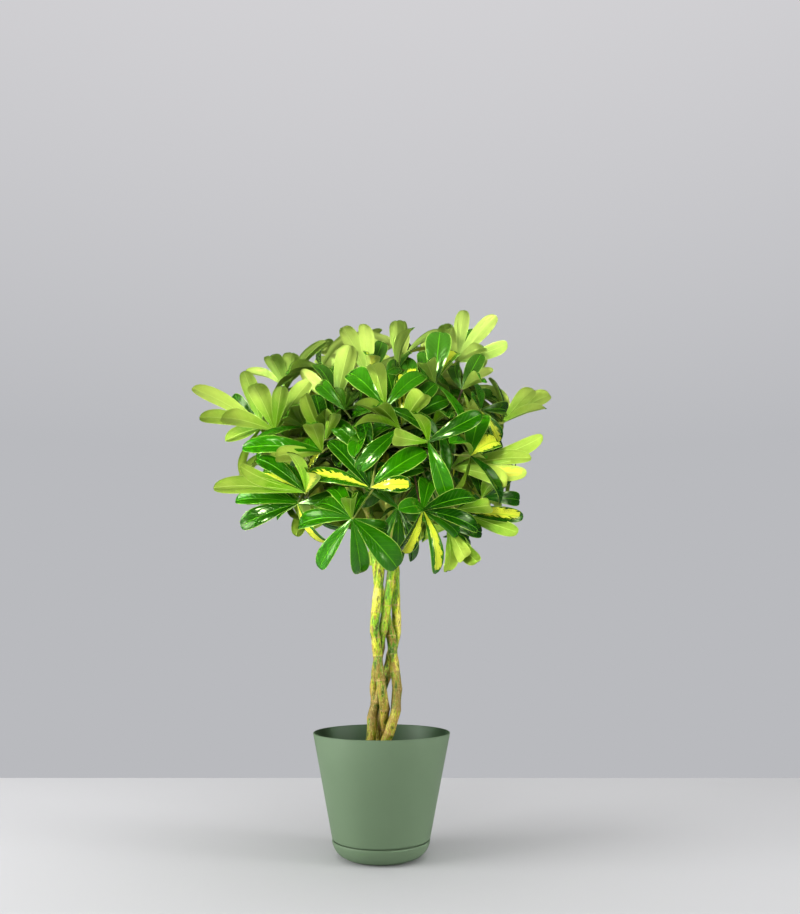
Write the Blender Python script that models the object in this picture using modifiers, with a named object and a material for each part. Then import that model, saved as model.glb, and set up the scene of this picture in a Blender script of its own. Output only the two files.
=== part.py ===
"""Dwarf umbrella tree with a braided trunk, in a round pot with its own saucer.

Metres, +Z up. The front of the plant faces -Y and the saucer stands on z = 0.
"""

import math
import random

import bmesh
import bpy
from mathutils import Quaternion, Vector
from mathutils.bvhtree import BVHTree

# Pot and saucer, turned about +Z: rim across 180 mm, 151 mm tall.
GAP = 0.0003
TURN_STEPS = 44
SAUCER_PROFILE = (
    (0.0629, 0.0214), (0.0627, 0.0195), (0.0612, 0.0145), (0.0580, 0.0090), (0.0530, 0.0044),
    (0.0470, 0.0014), (0.0410, 0.0), (0.0, 0.0), (0.0, 0.0028), (0.0400, 0.0028),
    (0.0460, 0.0037), (0.0515, 0.0063), (0.0559, 0.0103), (0.0592, 0.0155), (0.0606, 0.0205),
    (0.0606, 0.0214),
)
POT_PROFILE = (
    (0.0897, 0.1511), (0.0900, 0.1506), (0.0631, 0.0236), (0.0626, 0.0228), (0.0588, 0.0228),
    (0.0587, 0.0160), (0.0556, 0.0107), (0.0512, 0.0067), (0.0459, 0.0040), (0.0400, 0.0031),
    (0.0, 0.0031), (0.0, 0.0060), (0.0400, 0.0060), (0.0452, 0.0068), (0.0500, 0.0092),
    (0.0540, 0.0128), (0.0562, 0.0172), (0.0562, 0.0240), (0.0600, 0.0280), (0.0877, 0.1506),
    (0.0880, 0.1511),
)
SOIL_TOP = 0.121
SOIL_PROFILE = (
    (0.0798, SOIL_TOP - 0.0030), (0.0597, 0.0281), (0.0558, 0.0241), (0.0558, 0.0174),
    (0.0537, 0.0132), (0.0498, 0.0096), (0.0451, 0.0072), (0.0400, 0.0064), (0.0, 0.0064),
    (0.0, SOIL_TOP + 0.0020), (0.0500, SOIL_TOP + 0.0010), (0.0760, SOIL_TOP - 0.0010),
)

# The view that the front of the plant is laid out in: eye, upward pitch, focal
# length and centre in picture points.
VIEW_EYE = Vector((0.0241, -1.1000, 0.2780))
VIEW_PITCH = math.radians(12.52)
VIEW_FOCAL = 793.3
VIEW_CENTRE = (400.0, 457.0)

# Braided stems. Each row: picture height, then for each stem its picture place
# across and how near it is to the viewer, in millimetres.
STEM_RADII = (0.0067, 0.0060)
STEM_SIDES = 8
BRANCH_SIDES = 6
NODE_RING = 0.0005
STEM_SPACING = 0.0151
STEM_FOOT = 0.082
HOLE_SIDES = 16
BRAID = (
    (562, (375.5, -6), (383.0, 8), (391.0, 7), (394.5, -9)),
    (580, (375.8, -9), (380.5, 6), (390.5, 9), (395.2, -9)),
    (598, (381.0, -12), (376.8, 5), (387.0, 7), (395.5, -10)),
    (612, (385.5, -10), (375.8, 11), (386.2, 5), (396.2, -13)),
    (621, (387.5, -8.5), (375.6, 14), (384.8, 6), (396.5, -17)),
    (629, (389.6, -6), (375.6, 17), (382.8, 5.5), (396.2, -18.5)),
    (645, (391.5, -3), (376.6, 14), (380.5, -1), (394.3, -17.5)),
    (660, (393.5, 2), (377.0, 10), (378.0, -8), (391.0, -14)),
    (675, (397.3, 6), (380.0, 8), (375.5, -11), (386.5, -8)),
    (690, (399.6, 4), (381.5, 10), (374.6, -18), (380.5, -5)),
    (705, (397.0, 3), (382.3, 10), (374.8, -18), (374.8, -2)),
    (721, (392.0, 9), (384.6, -4), (376.8, -17), (372.5, 3)),
    (741, (384.3, 10), (386.0, -6), (378.6, -18), (371.5, 4)),
    (755, (380.8, 11), (388.0, -6), (379.0, -19), (370.2, 4)),
)

# Crown. Each stem forks into three branches and each branch carries one shoot.
FORK_HEIGHT = 0.440
FORK_REACH = 0.026
STEM_SECTORS = (135.0, 225.0, 315.0, 45.0)
BRANCH_TURNS = ((0.0, 60.0), (-26.0, -14.0), (25.0, 12.0))
SHOOT_CENTRE = Vector((0.0, 0.0, 0.530))
SHOOT_REACH = Vector((0.108, 0.100, 0.088))
BRANCH_RADII = (0.0050, 0.0036)
TWIG_RADII = (0.0034, 0.0018)
PETIOLE_RADII = (0.0014, 0.0010)
HUB_RADIUS = 0.0028
SHOOT_LIMIT = 6

# Leaflets: obovate, folded on the midrib and arched.
LEAFLET_LENGTH = 0.084
LEAFLET_WIDTH = 0.0225
BLADE_THICKNESS = 0.0008
BLADE_CLEAR = 0.0005
BLADE_FOLD = 0.30
FOLD_FROM = 14
ARCH_RANGE = (0.07, 0.13)
BLADE_STATIONS = ((0.42, 0.80), (0.80, 0.93))

# Compound leaves seen from the front: hub in picture points, how near it is in
# millimetres, then its leaflets as tip across, tip down, face, width seen.
# U shows the upper face and lies back, u leans forward; L shows the lower face
# and leans forward, l lies back.
FRONT_LEAVES = (
    ((262, 428), 20, ((192, 388, "L", 15), (199, 416, "L", 14), (244, 370, "L", 14),
                      (226, 440, "l", 13))),
    ((275, 431), 45, ((221, 417, "L", 17), (253, 383, "L", 18), (309, 380, "L", 15),
                      (282, 385, "L", 14))),
    ((287, 390), -10, ((246, 371, "l", 10), (270, 356, "L", 16), (281, 360, "U", 10),
                       (292, 351, "L", 15), (324, 338, "L", 9))),
    ((336, 404), 60, ((301, 370, "l", 12), (350, 344, "L", 18), (330, 366, "U", 12),
                      (315, 362, "U", 11))),
    ((368, 378), 70, ((343, 325, "L", 15), (364, 322, "L", 13), (382, 342, "U", 12),
                      (347, 336, "l", 10), (368, 352, "L", 11))),
    ((398, 368), 90, ((397, 320, "L", 14), (409, 335, "l", 12), (413, 328, "L", 10),
                      (405, 354, "U", 14), (386, 372, "u", 12))),
    ((435, 384), 110, ((440, 332, "U", 22), (425, 359, "L", 16), (458, 352, "U", 12))),
    ((457, 362), 40, ((443, 323, "L", 14), (450, 326, "L", 10), (464, 309, "L", 13),
                      (496, 315, "L", 14), (475, 329, "U", 11), (508, 344, "L", 11),
                      (485, 347, "L", 14))),
    ((462, 390), 75, ((455, 362, "U", 10), (483, 379, "L", 15), (491, 370, "l", 12),
                      (482, 356, "U", 14))),
    ((503, 423), 5, ((534, 388, "L", 14), (550, 394, "L", 15), (546, 407, "L", 12))),
    ((480, 410), 40, ((508, 412, "U", 11), (493, 435, "U", 13), (500, 444, "U", 13))),
    ((452, 468), 75, ((532, 456, "L", 14), (545, 438, "L", 10), (485, 458, "L", 11),
                      (527, 473, "L", 11), (508, 482, "L", 18))),
    ((470, 456), 120, ((480, 412, "U", 22), (500, 440, "U", 18), (452, 440, "u", 12))),
    ((482, 498), 30, ((521, 500, "U", 11), (492, 482, "L", 12), (476, 473, "U", 15))),
    ((455, 510), 50, ((524, 517, "U", 12), (519, 533, "L", 12), (492, 505, "L", 12))),
    ((448, 528), 85, ((466, 560, "L", 13), (449, 573, "L", 13), (478, 564, "L", 11),
                      (468, 544, "U", 14), (424, 538, "L", 14), (482, 532, "U", 12))),
    ((422.5, 510.5), 165, ((401, 508, "u", 15), (431, 479, "U", 18), (475, 497, "U", 18),
                           (480, 528, "U", 16), (460, 535, "U", 14), (401, 555, "U", 10),
                           (438, 574, "U", 13))),
    ((352, 519), 170, ((298, 525, "U", 17), (316, 502, "U", 15), (330, 485, "U", 14),
                       (352, 495, "u", 14), (366, 494, "U", 14), (388, 531, "U", 11),
                       (397, 568, "U", 23), (361, 574, "U", 17), (318, 569, "U", 15))),
    ((370, 488), 150, ((329, 440, "U", 15), (355, 439, "U", 16), (307, 472, "U", 15),
                       (333, 494, "U", 13), (412, 484, "U", 15), (425.5, 450, "U", 22),
                       (424, 467, "U", 15))),
    ((305.5, 492.7), 130, ((213, 487, "L", 18), (248, 479, "U", 11), (257, 456, "U", 14),
                           (274, 462, "U", 12), (289, 452, "L", 10), (307, 472, "L", 11),
                           (325, 480, "U", 12))),
    ((298, 503.5), 95, ((246, 498, "U", 20), (240, 526, "U", 16), (235, 500, "U", 14),
                        (302, 524, "U", 11))),
    ((322, 452), 125, ((242, 448, "U", 17), (274, 456, "L", 14), (311, 424, "L", 18),
                       (300, 445, "U", 13), (313, 474, "U", 12))),
    ((325, 440), 100, ((333, 411, "L", 14), (341, 415, "U", 11), (315, 393, "U", 14),
                      (305, 394, "L", 12))),
    ((385, 408), 150, ((349, 371, "U", 21), (372, 362, "L", 15), (352, 420, "U", 14))),
    ((402, 425), 130, ((404, 371, "U", 16), (413, 365, "U", 14), (424, 393, "L", 20),
                       (436, 383, "U", 14), (448, 398, "U", 16))),
    ((428, 442), 160, ((391, 435, "L", 12), (414, 414, "L", 13), (414, 452, "U", 14))),
    ((434, 424), 120, ((466, 405, "U", 12), (450, 416, "L", 14), (458, 432, "U", 13))),
    ((398, 508), 80, ((377, 556, "U", 14), (396, 568, "U", 13), (415, 562, "U", 12),
                      (383, 527, "U", 12))),
)

# The crown as seen from the front, in picture points; leaves placed by rule
# stay inside it.
CROWN_OUTLINE = (
    (343, 332), (370, 330), (398, 324), (443, 326), (464, 316), (496, 322), (504, 344),
    (488, 362), (492, 380), (512, 392), (536, 398), (512, 425), (512, 446), (526, 462),
    (512, 484), (518, 500), (508, 525), (486, 534), (476, 560), (450, 566), (436, 556),
    (398, 556), (388, 566), (362, 566), (320, 560), (312, 532), (262, 528), (244, 522),
    (244, 498), (222, 486), (262, 462), (248, 446), (258, 432), (210, 416), (202, 394),
    (240, 398), (246, 374), (270, 360), (296, 356), (322, 344),
)

# Compound leaves of the back, sides and top, placed by rule.
CROWN_CENTRE = Vector((0.0, 0.0, 0.545))
CROWN_REACH = Vector((0.185, 0.195, 0.135))
CROWN_POINTS = 60
HUB_SPACING = 0.058
LEAFLETS_EACH = 6
FILL_TO = 5
GOLDEN_TURN = math.pi * (3.0 - math.sqrt(5.0))
SEED = 27


# Small helpers

def mix(a, b, share):
    return a + (b - a) * share


def flat_point(angle, radius, height):
    return Vector((radius * math.cos(angle), radius * math.sin(angle), height))


def ball_point(turn, rise):
    """Unit direction from a compass turn and a rise above level, in degrees."""
    turn, rise = math.radians(turn), math.radians(rise)
    return Vector((math.cos(rise) * math.cos(turn), math.cos(rise) * math.sin(turn), math.sin(rise)))


def spiral_point(index, count):
    """One of count unit directions spread evenly over a ball."""
    rise = 1.0 - 2.0 * (index + 0.5) / count
    turn = index * GOLDEN_TURN
    level = math.sqrt(1.0 - rise * rise)
    return Vector((level * math.cos(turn), level * math.sin(turn), rise))


def scaled(vector, factors):
    return Vector((vector.x * factors.x, vector.y * factors.y, vector.z * factors.z))


def view_ray(across, down):
    """Direction from the eye through a picture point."""
    right = (across - VIEW_CENTRE[0]) / VIEW_FOCAL
    rise = (VIEW_CENTRE[1] - down) / VIEW_FOCAL
    forward = Vector((0.0, math.cos(VIEW_PITCH), math.sin(VIEW_PITCH)))
    upward = Vector((0.0, -math.sin(VIEW_PITCH), math.cos(VIEW_PITCH)))
    return (forward + Vector((right, 0.0, 0.0)) + upward * rise).normalized()


def placed_point(across, down, near_mm):
    """Point seen at a picture point, near_mm in front of the trunk's plane."""
    ray = view_ray(across, down)
    return VIEW_EYE + ray * ((-near_mm * 0.001 - VIEW_EYE.y) / ray.y)


def picture_point(point):
    """Where a point is seen in the picture."""
    ray = point - VIEW_EYE
    depth = ray.y * math.cos(VIEW_PITCH) + ray.z * math.sin(VIEW_PITCH)
    rise = -ray.y * math.sin(VIEW_PITCH) + ray.z * math.cos(VIEW_PITCH)
    return (VIEW_CENTRE[0] + VIEW_FOCAL * ray.x / depth,
            VIEW_CENTRE[1] - VIEW_FOCAL * rise / depth)


def inside_outline(point):
    across, down = picture_point(point)
    inside = False
    last = CROWN_OUTLINE[-1]
    for corner in CROWN_OUTLINE:
        if (corner[1] > down) != (last[1] > down):
            crossing = last[0] + (down - last[1]) * (corner[0] - last[0]) / (corner[1] - last[1])
            if across < crossing:
                inside = not inside
        last = corner
    return inside


def smooth_path(points, share):
    """Point at a share of the way along a Catmull-Rom curve through points."""
    place = share * (len(points) - 1)
    index = min(int(place), len(points) - 2)
    t = place - index
    p1, p2 = points[index], points[index + 1]
    p0 = points[index - 1] if index > 0 else p1 * 2.0 - p2
    p3 = points[index + 2] if index + 2 < len(points) else p2 * 2.0 - p1
    return 0.5 * (2.0 * p1 + (p2 - p0) * t + (2.0 * p0 - 5.0 * p1 + 4.0 * p2 - p3) * t * t
                  + (3.0 * p1 - 3.0 * p2 + p3 - p0) * t * t * t)


def bent_path(start, start_way, end, end_way, steps):
    """Points on a cubic curve that leaves along start_way and arrives along end_way."""
    reach = (end - start).length * 0.38
    a, b = start + start_way * reach, end - end_way * reach
    points = []
    for index in range(steps + 1):
        t = index / steps
        s = 1.0 - t
        points.append(start * s ** 3 + a * 3 * s * s * t + b * 3 * s * t * t + end * t ** 3)
    return points


# Meshes as lists of corners and faces

def tube_shape(path, radii, sides):
    """Closed tube along a path; radii holds one radius for each point."""
    corners, faces = [], []
    along = (path[1] - path[0]).normalized()
    across = along.orthogonal().normalized()
    count = len(path)
    for index, point in enumerate(path):
        before, after = path[max(index - 1, 0)], path[min(index + 1, count - 1)]
        new_along = (after - before).normalized()
        across.rotate(along.rotation_difference(new_along))
        along = new_along
        across = (across - along * across.dot(along)).normalized()
        other = along.cross(across)
        for side in range(sides):
            turn = 2.0 * math.pi * side / sides
            corners.append(point + (across * math.cos(turn) + other * math.sin(turn)) * radii[index])
    for index in range(count - 1):
        for side in range(sides):
            a, b = index * sides + side, index * sides + (side + 1) % sides
            faces.append((a, b, b + sides, a + sides))
    faces.append(tuple(reversed(range(sides))))
    faces.append(tuple(range((count - 1) * sides, count * sides)))
    return corners, faces


class Leaflet:
    """One leaflet: where it starts and ends, and how its blade lies."""

    def __init__(self, root, tip, up, width, arch, folded):
        self.root, self.tip, self.up = root, tip, up
        self.width, self.arch, self.folded = width, arch, folded

    def frame(self):
        along = self.tip - self.root
        length = along.length
        along.normalize()
        normal = self.up - along * self.up.dot(along)
        if normal.length < 0.01:
            normal = along.orthogonal()
        normal.normalize()
        return along, normal, along.cross(normal), length

    def shape(self, thickness, spread):
        """Closed blade: a root edge, two stations across it and a tip edge.

        A folded blade has its midrib as a third line along both faces.
        """
        along, normal, side, length = self.frame()
        lines = (-1.0, 0.0, 1.0) if self.folded else (-1.0, 1.0)
        fold = BLADE_FOLD if self.folded else BLADE_FOLD * 0.5
        start = self.root - along * 0.0012
        corners = [start + normal * thickness * 0.5, start - normal * thickness * 0.5]
        for place, share in BLADE_STATIONS:
            rise = self.arch * length * 4.0 * place * (1.0 - place)
            middle = self.root + along * length * place + normal * rise
            half = self.width * 0.5 * share + spread
            for way in lines:
                corner = middle + side * way * half + normal * abs(way) * half * fold
                corners += [corner + normal * thickness * 0.5, corner - normal * thickness * 0.5]
        end = self.tip + along * spread
        corners += [end + normal * thickness * 0.5, end - normal * thickness * 0.5]
        count = len(lines)
        first = [2 + 2 * index for index in range(count)]
        second = [corner + 2 * count for corner in first]
        tip = 2 + 4 * count
        top = []
        for a, b, c, d in zip(first, first[1:], second, second[1:]):
            top += [(0, b, a), (a, b, d), (a, d, c), (c, d, tip)]
        low = [(c + 1, b + 1, a + 1) for a, b, c in top]
        rim = (0, first[0], second[0], tip, second[-1], first[-1])
        edge = []
        for index, corner in enumerate(rim):
            after = rim[(index + 1) % len(rim)]
            edge += [(corner, after, after + 1), (corner, after + 1, corner + 1)]
        return corners, top + low + edge


def signed_volume(corners, faces):
    total = 0.0
    for face in faces:
        for index in range(1, len(face) - 1):
            a, b, c = corners[face[0]], corners[face[index]], corners[face[index + 1]]
            total += a.dot(b.cross(c)) / 6.0
    return total


def facing_out(shape):
    corners, faces = shape
    if signed_volume(corners, faces) < 0.0:
        faces = [tuple(reversed(face)) for face in faces]
    return corners, faces


# Occupied space: every piece placed so far, with the node that it belongs to

class Space:
    def __init__(self):
        self.pieces = []

    def add(self, node, shape):
        corners, faces = shape
        low = Vector([min(corner[axis] for corner in corners) for axis in range(3)])
        high = Vector([max(corner[axis] for corner in corners) for axis in range(3)])
        self.pieces.append((node, low, high, BVHTree.FromPolygons(corners, faces)))

    def crossings(self, node, shape):
        """How many pieces of other nodes, and of this node, a shape crosses."""
        corners, faces = shape
        low = Vector([min(corner[axis] for corner in corners) for axis in range(3)])
        high = Vector([max(corner[axis] for corner in corners) for axis in range(3)])
        tree = None
        others = own = 0
        for piece_node, piece_low, piece_high, piece_tree in self.pieces:
            if any(piece_low[axis] > high[axis] or piece_high[axis] < low[axis] for axis in range(3)):
                continue
            if tree is None:
                tree = BVHTree.FromPolygons(corners, faces)
            if tree.overlap(piece_tree):
                if piece_node == node:
                    own += 1
                else:
                    others += 1
        return others, own


# Layout of the braided stems

def braid_paths():
    """Centre line of each braided stem from the soil up, kept apart by pushing."""
    rows = []
    for row in reversed(BRAID):
        rows.append([placed_point(across, row[0], near) for across, near in row[1:]])
    steps = 2 * (len(rows) - 1)
    grid = []
    for step in range(steps + 1):
        grid.append([smooth_path([row[stem] for row in rows], step / steps) for stem in range(4)])
    for turn in range(80):
        for points in grid:
            for a in range(4):
                for b in range(a + 1, 4):
                    apart = points[a] - points[b]
                    apart.z = 0.0
                    short = STEM_SPACING - apart.length
                    if short > 0.0:
                        push = apart.normalized() * short * 0.5
                        points[a] = points[a] + push
                        points[b] = points[b] - push
        if turn < 60:
            for index in range(1, steps):
                for stem in range(4):
                    middle = (grid[index - 1][stem] + grid[index + 1][stem]) * 0.5
                    grid[index][stem] = mix(grid[index][stem], middle, 0.12)
    return [[points[stem] for points in grid] for stem in range(4)]


def ring_radius(index, base):
    """Node rings: every third station stands out a little."""
    return base + (NODE_RING if index % 3 == 1 else 0.0)


class Shoot:
    def __init__(self, name, twig):
        self.name, self.twig, self.leaves = name, twig, []

    def join(self, share):
        return smooth_path(self.twig, share)


class Leaf:
    """One compound leaf: hub, the way it faces and its leaflets."""

    def __init__(self, hub, axis):
        self.hub, self.axis, self.leaflets, self.petiole = hub, axis, [], None


def plan_stems(space):
    """Stems with their branches, and the bare twig of each shoot."""
    stems, shoots = [], []
    for stem, braid in enumerate(braid_paths()):
        foot = [Vector((braid[0].x, braid[0].y, STEM_FOOT)),
                Vector((braid[0].x, braid[0].y, SOIL_TOP + 0.004))]
        braid = braid[1:]
        sector = STEM_SECTORS[stem]
        fork = flat_point(math.radians(sector), FORK_REACH, FORK_HEIGHT)
        way = (braid[-1] - braid[-3]).normalized()
        lift = (fork - braid[-1]).normalized()
        neck = bent_path(braid[-1], way, fork, (lift + Vector((0, 0, 1))).normalized(), 4)
        trunk = foot + braid + neck[1:]
        count = len(braid)
        radii = [STEM_RADII[0], STEM_RADII[0]]
        radii += [ring_radius(index, mix(*STEM_RADII, index / count)) for index in range(1, count + 1)]
        radii += [mix(STEM_RADII[1], BRANCH_RADII[0], (index + 1) / 4) for index in range(4)]
        tubes = []
        for number, (turn, rise) in enumerate(BRANCH_TURNS):
            end = SHOOT_CENTRE + scaled(ball_point(sector + turn, rise), SHOOT_REACH)
            out = (end - fork).normalized()
            up = (out + Vector((0, 0, 0.9))).normalized()
            whole = bent_path(fork - up * 0.012, up, end, out, 10)
            branch, twig = whole[:6], whole[6:]
            gap_way = (twig[0] - branch[-1]).normalized()
            twig = [branch[-1] + gap_way * GAP] + twig
            steps = len(branch) - 1
            sizes = [mix(*BRANCH_RADII, index / steps) for index in range(steps + 1)]
            if number == 0:
                tubes.append((trunk[:-1] + branch[1:], radii[:-1] + sizes[1:]))
            else:
                tubes.append((branch, sizes))
            shoots.append(Shoot("shoot_%02d" % (3 * stem + number + 1), twig))
        name = "stem_%d" % (stem + 1)
        for path, sizes in tubes:
            space.add(name, tube_shape(path, [size + 0.0004 for size in sizes], 6))
        stems.append((name, tubes))
    for shoot in shoots:
        space.add(shoot.name, tube_shape(shoot.twig[1:], twig_radii(shoot), 5))
    return stems, shoots


def twig_radii(shoot):
    steps = len(shoot.twig) - 2
    return [mix(*TWIG_RADII, index / steps) for index in range(steps + 1)]


# Layout of the compound leaves

def petiole_path(shoot, share, hub, arrive, sway):
    start = shoot.join(share)
    twig_way = (shoot.join(min(share + 0.05, 1.0)) - shoot.join(share - 0.05)).normalized()
    out = (hub - start).normalized()
    leave = (twig_way * 0.6 + out).normalized()
    path = bent_path(start, leave, hub, (arrive + out * 1.2).normalized(), 4)
    side = out.orthogonal().normalized()
    side.rotate(Quaternion(out, sway[0]))
    for index, lift in ((1, 0.75), (2, 1.0), (3, 0.75)):
        path[index] = path[index] + side * sway[1] * lift
    return path


def petiole_shape(leaf):
    """Leaf stalk, swollen at its end where the leaflets join it."""
    radii = [mix(*PETIOLE_RADII, index / 3) for index in range(4)] + [HUB_RADIUS, HUB_RADIUS]
    end = leaf.axis * HUB_RADIUS * 0.7
    return tube_shape(leaf.petiole[:-1] + [leaf.hub - end, leaf.hub + end], radii, 3)


def seat_leaf(space, shoots, leaf):
    """Joins a leaf to the nearest shoot that its petiole reaches without crossing."""
    ranked = []
    for shoot in shoots:
        if len(shoot.leaves) < SHOOT_LIMIT:
            ranked.append(((leaf.hub - shoot.join(0.8)).length, shoot.name, shoot))
    ranked.sort(key=lambda entry: entry[:2])
    for _, _, shoot in ranked[:4]:
        for sway_size in (0.0, 0.006, 0.012, 0.020):
            for turn in range(1 if sway_size == 0.0 else 6):
                for share in (0.95, 0.75, 0.55):
                    sway = (turn * math.pi / 3.0, sway_size)
                    path = petiole_path(shoot, share, leaf.hub, leaf.axis, sway)
                    shape = tube_shape(path[:-1] + [leaf.hub], [0.0019] * 5, 4)
                    if space.crossings(shoot.name, shape)[0] == 0:
                        leaf.petiole = path
                        space.add(shoot.name, petiole_shape(leaf))
                        shoot.leaves.append(leaf)
                        return shoot
    return None


def front_leaflet(hub, entry, draw):
    """Leaflet whose tip is seen at its picture point, at a natural length."""
    across, down, face, seen = entry
    length = LEAFLET_LENGTH * draw.uniform(0.90, 1.04)
    ray = view_ray(across, down)
    closest = (hub - VIEW_EYE).dot(ray)
    off = (VIEW_EYE + ray * closest - hub).length
    length = max(length, off * 1.02)
    reach = math.sqrt(length * length - off * off)
    forward = face in "Lu"
    tip = VIEW_EYE + ray * (closest + (-reach if forward else reach) * 0.8)
    up = (-ray if face in "Uu" else ray) + Vector((0.0, 0.0, 0.45))
    per_point = (tip - VIEW_EYE).length / VIEW_FOCAL
    seen_width = seen * per_point * 1.08
    width = max(seen_width, LEAFLET_WIDTH * 0.86)
    along = (tip - hub).normalized()
    roll = math.acos(min(seen_width / width, 1.0)) * (1.0 if draw.random() < 0.5 else -1.0)
    up.rotate(Quaternion(along, roll * 0.9))
    return Leaflet(hub, tip, up, width, draw.uniform(*ARCH_RANGE), seen >= FOLD_FROM)


def try_leaflet(space, shoot, leaflet, draw, keep_view, own_limit):
    """Bends a leaflet clear of the other nodes; returns whether it could be placed."""
    hub, tip, up = leaflet.root.copy(), leaflet.tip.copy(), leaflet.up.copy()
    best = None
    for attempt in range(26):
        if attempt:
            strength = 0.004 + 0.0022 * attempt
            if keep_view:
                ray = (tip - VIEW_EYE).normalized()
                slide = ray * draw.uniform(-1.6, 1.6) * strength
                jitter = Vector([draw.uniform(-0.16, 0.16) for _ in range(3)]) * strength
                leaflet.tip = tip + slide + jitter
            else:
                leaflet.tip = tip + Vector([draw.uniform(-0.8, 0.8) for _ in range(3)]) * strength
                leaflet.tip = hub + (leaflet.tip - hub).normalized() * (tip - hub).length
            leaflet.up = up.copy()
            along = (leaflet.tip - hub).normalized()
            leaflet.up.rotate(Quaternion(along, draw.uniform(-0.03, 0.03) * attempt))
        shape = leaflet.shape(BLADE_THICKNESS + 2.0 * BLADE_CLEAR, BLADE_CLEAR)
        others, own = space.crossings(shoot.name, shape)
        if others == 0 and (best is None or own < best[0]):
            best = (own, leaflet.tip.copy(), leaflet.up.copy())
            if own <= own_limit:
                break
    if best is None:
        return False
    leaflet.tip, leaflet.up = best[1], best[2]
    space.add(shoot.name, leaflet.shape(BLADE_THICKNESS, 0.0))
    return True


def outward(point):
    way = point - Vector((0.0, 0.0, CROWN_CENTRE.z - 0.03))
    return way.normalized()


def rule_leaflets(leaf, count, draw):
    """Leaflets spread like the ribs of an umbrella round the leaf's axis."""
    first = leaf.axis.orthogonal().normalized()
    second = leaf.axis.cross(first)
    height = (leaf.hub.z - CROWN_CENTRE.z) / CROWN_REACH.z
    droop = math.radians(8.0 - 30.0 * max(min(height, 1.0), -1.0)) + draw.uniform(-0.12, 0.12)
    start = draw.uniform(0.0, 2.0 * math.pi)
    made = []
    for index in range(count):
        turn = start + 2.0 * math.pi * index / count + draw.uniform(-0.15, 0.15)
        spoke = first * math.cos(turn) + second * math.sin(turn)
        dip = droop + draw.uniform(-0.22, 0.22)
        way = (spoke * math.cos(dip) - leaf.axis * math.sin(dip)).normalized()
        length = LEAFLET_LENGTH * draw.uniform(0.80, 1.04)
        up = leaf.axis * math.cos(dip) + spoke * math.sin(dip)
        up.rotate(Quaternion(way, draw.uniform(-0.45, 0.45)))
        width = LEAFLET_WIDTH * draw.uniform(0.86, 1.10)
        made.append(Leaflet(leaf.hub, leaf.hub + way * length, up, width,
                            draw.uniform(*ARCH_RANGE), False))
    return made


def fill_leaf(leaf, count, draw):
    """Leaflets on the hidden side of a front leaf, in its widest gaps."""
    made = []
    ways = [(leaflet.tip - leaf.hub).normalized() for leaflet in leaf.leaflets]
    while len(ways) < count:
        best = None
        for index in range(60):
            way = spiral_point(index, 60)
            if way.y < 0.05 or abs(way.dot(leaf.axis)) > 0.85:
                continue
            tip = leaf.hub + way * LEAFLET_LENGTH * 0.9
            if not inside_outline(tip):
                continue
            near = max(way.dot(other) for other in ways)
            if best is None or near < best[0]:
                best = (near, way, tip)
        if best is None or best[0] > 0.90:
            break
        ways.append(best[1])
        up = leaf.axis + Vector((0.0, 0.0, 0.5))
        up.rotate(Quaternion(best[1], draw.uniform(-0.4, 0.4)))
        made.append(Leaflet(leaf.hub, best[2], up, LEAFLET_WIDTH * draw.uniform(0.86, 1.05),
                            draw.uniform(*ARCH_RANGE), False))
    return made


def plan_crown(space, shoots):
    draw = random.Random(SEED)
    planned = []
    for hub_place, near, entries in FRONT_LEAVES:
        hub = placed_point(hub_place[0], hub_place[1], near)
        leaf = Leaf(hub, outward(hub))
        shoot = seat_leaf(space, shoots, leaf)
        if shoot is not None:
            planned.append((leaf, shoot, entries))
    for leaf, shoot, entries in planned:
        for entry in entries:
            leaflet = front_leaflet(leaf.hub, entry, draw)
            if try_leaflet(space, shoot, leaflet, draw, True, 1):
                leaf.leaflets.append(leaflet)
    hubs = [leaf.hub for leaf, _, _ in planned]
    added = []
    for index in range(CROWN_POINTS):
        way = spiral_point(index, CROWN_POINTS)
        hub = CROWN_CENTRE + scaled(way, CROWN_REACH) * draw.uniform(0.86, 1.0)
        if way.z < -0.80 or way.y < -0.10 or not inside_outline(hub):
            continue
        if min((hub - other).length for other in hubs) < HUB_SPACING:
            continue
        leaf = Leaf(hub, outward(hub))
        shoot = seat_leaf(space, shoots, leaf)
        if shoot is not None:
            hubs.append(hub)
            added.append((leaf, shoot))
    for leaf, shoot, _ in planned:
        for leaflet in fill_leaf(leaf, FILL_TO, draw):
            if try_leaflet(space, shoot, leaflet, draw, False, 0):
                leaf.leaflets.append(leaflet)
    for leaf, shoot in added:
        for leaflet in rule_leaflets(leaf, LEAFLETS_EACH, draw):
            if not inside_outline(leaflet.tip):
                leaflet.tip = leaf.hub + (leaflet.tip - leaf.hub) * 0.82
                if not inside_outline(leaflet.tip):
                    continue
            if try_leaflet(space, shoot, leaflet, draw, False, 0):
                leaf.leaflets.append(leaflet)


# Building

def clear_scene():
    for item in list(bpy.data.objects):
        bpy.data.objects.remove(item, do_unlink=True)


def new_collection(name):
    collection = bpy.data.collections.new(name)
    bpy.context.scene.collection.children.link(collection)
    return collection


def make_material(name, colour, roughness):
    material = bpy.data.materials.new(name)
    material.use_nodes = True
    shader = material.node_tree.nodes["Principled BSDF"]
    shader.inputs["Base Color"].default_value = (*colour, 1.0)
    shader.inputs["Roughness"].default_value = roughness
    shader.inputs["Metallic"].default_value = 0.0
    return material


def mesh_object(name, shape, collection):
    corners, faces = facing_out(shape)
    mesh = bpy.data.meshes.new(name)
    mesh.from_pydata([tuple(corner) for corner in corners], [], faces)
    mesh.update()
    item = bpy.data.objects.new(name, mesh)
    collection.objects.link(item)
    return item


def shade(item, smooth):
    for polygon in item.data.polygons:
        polygon.use_smooth = smooth


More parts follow.
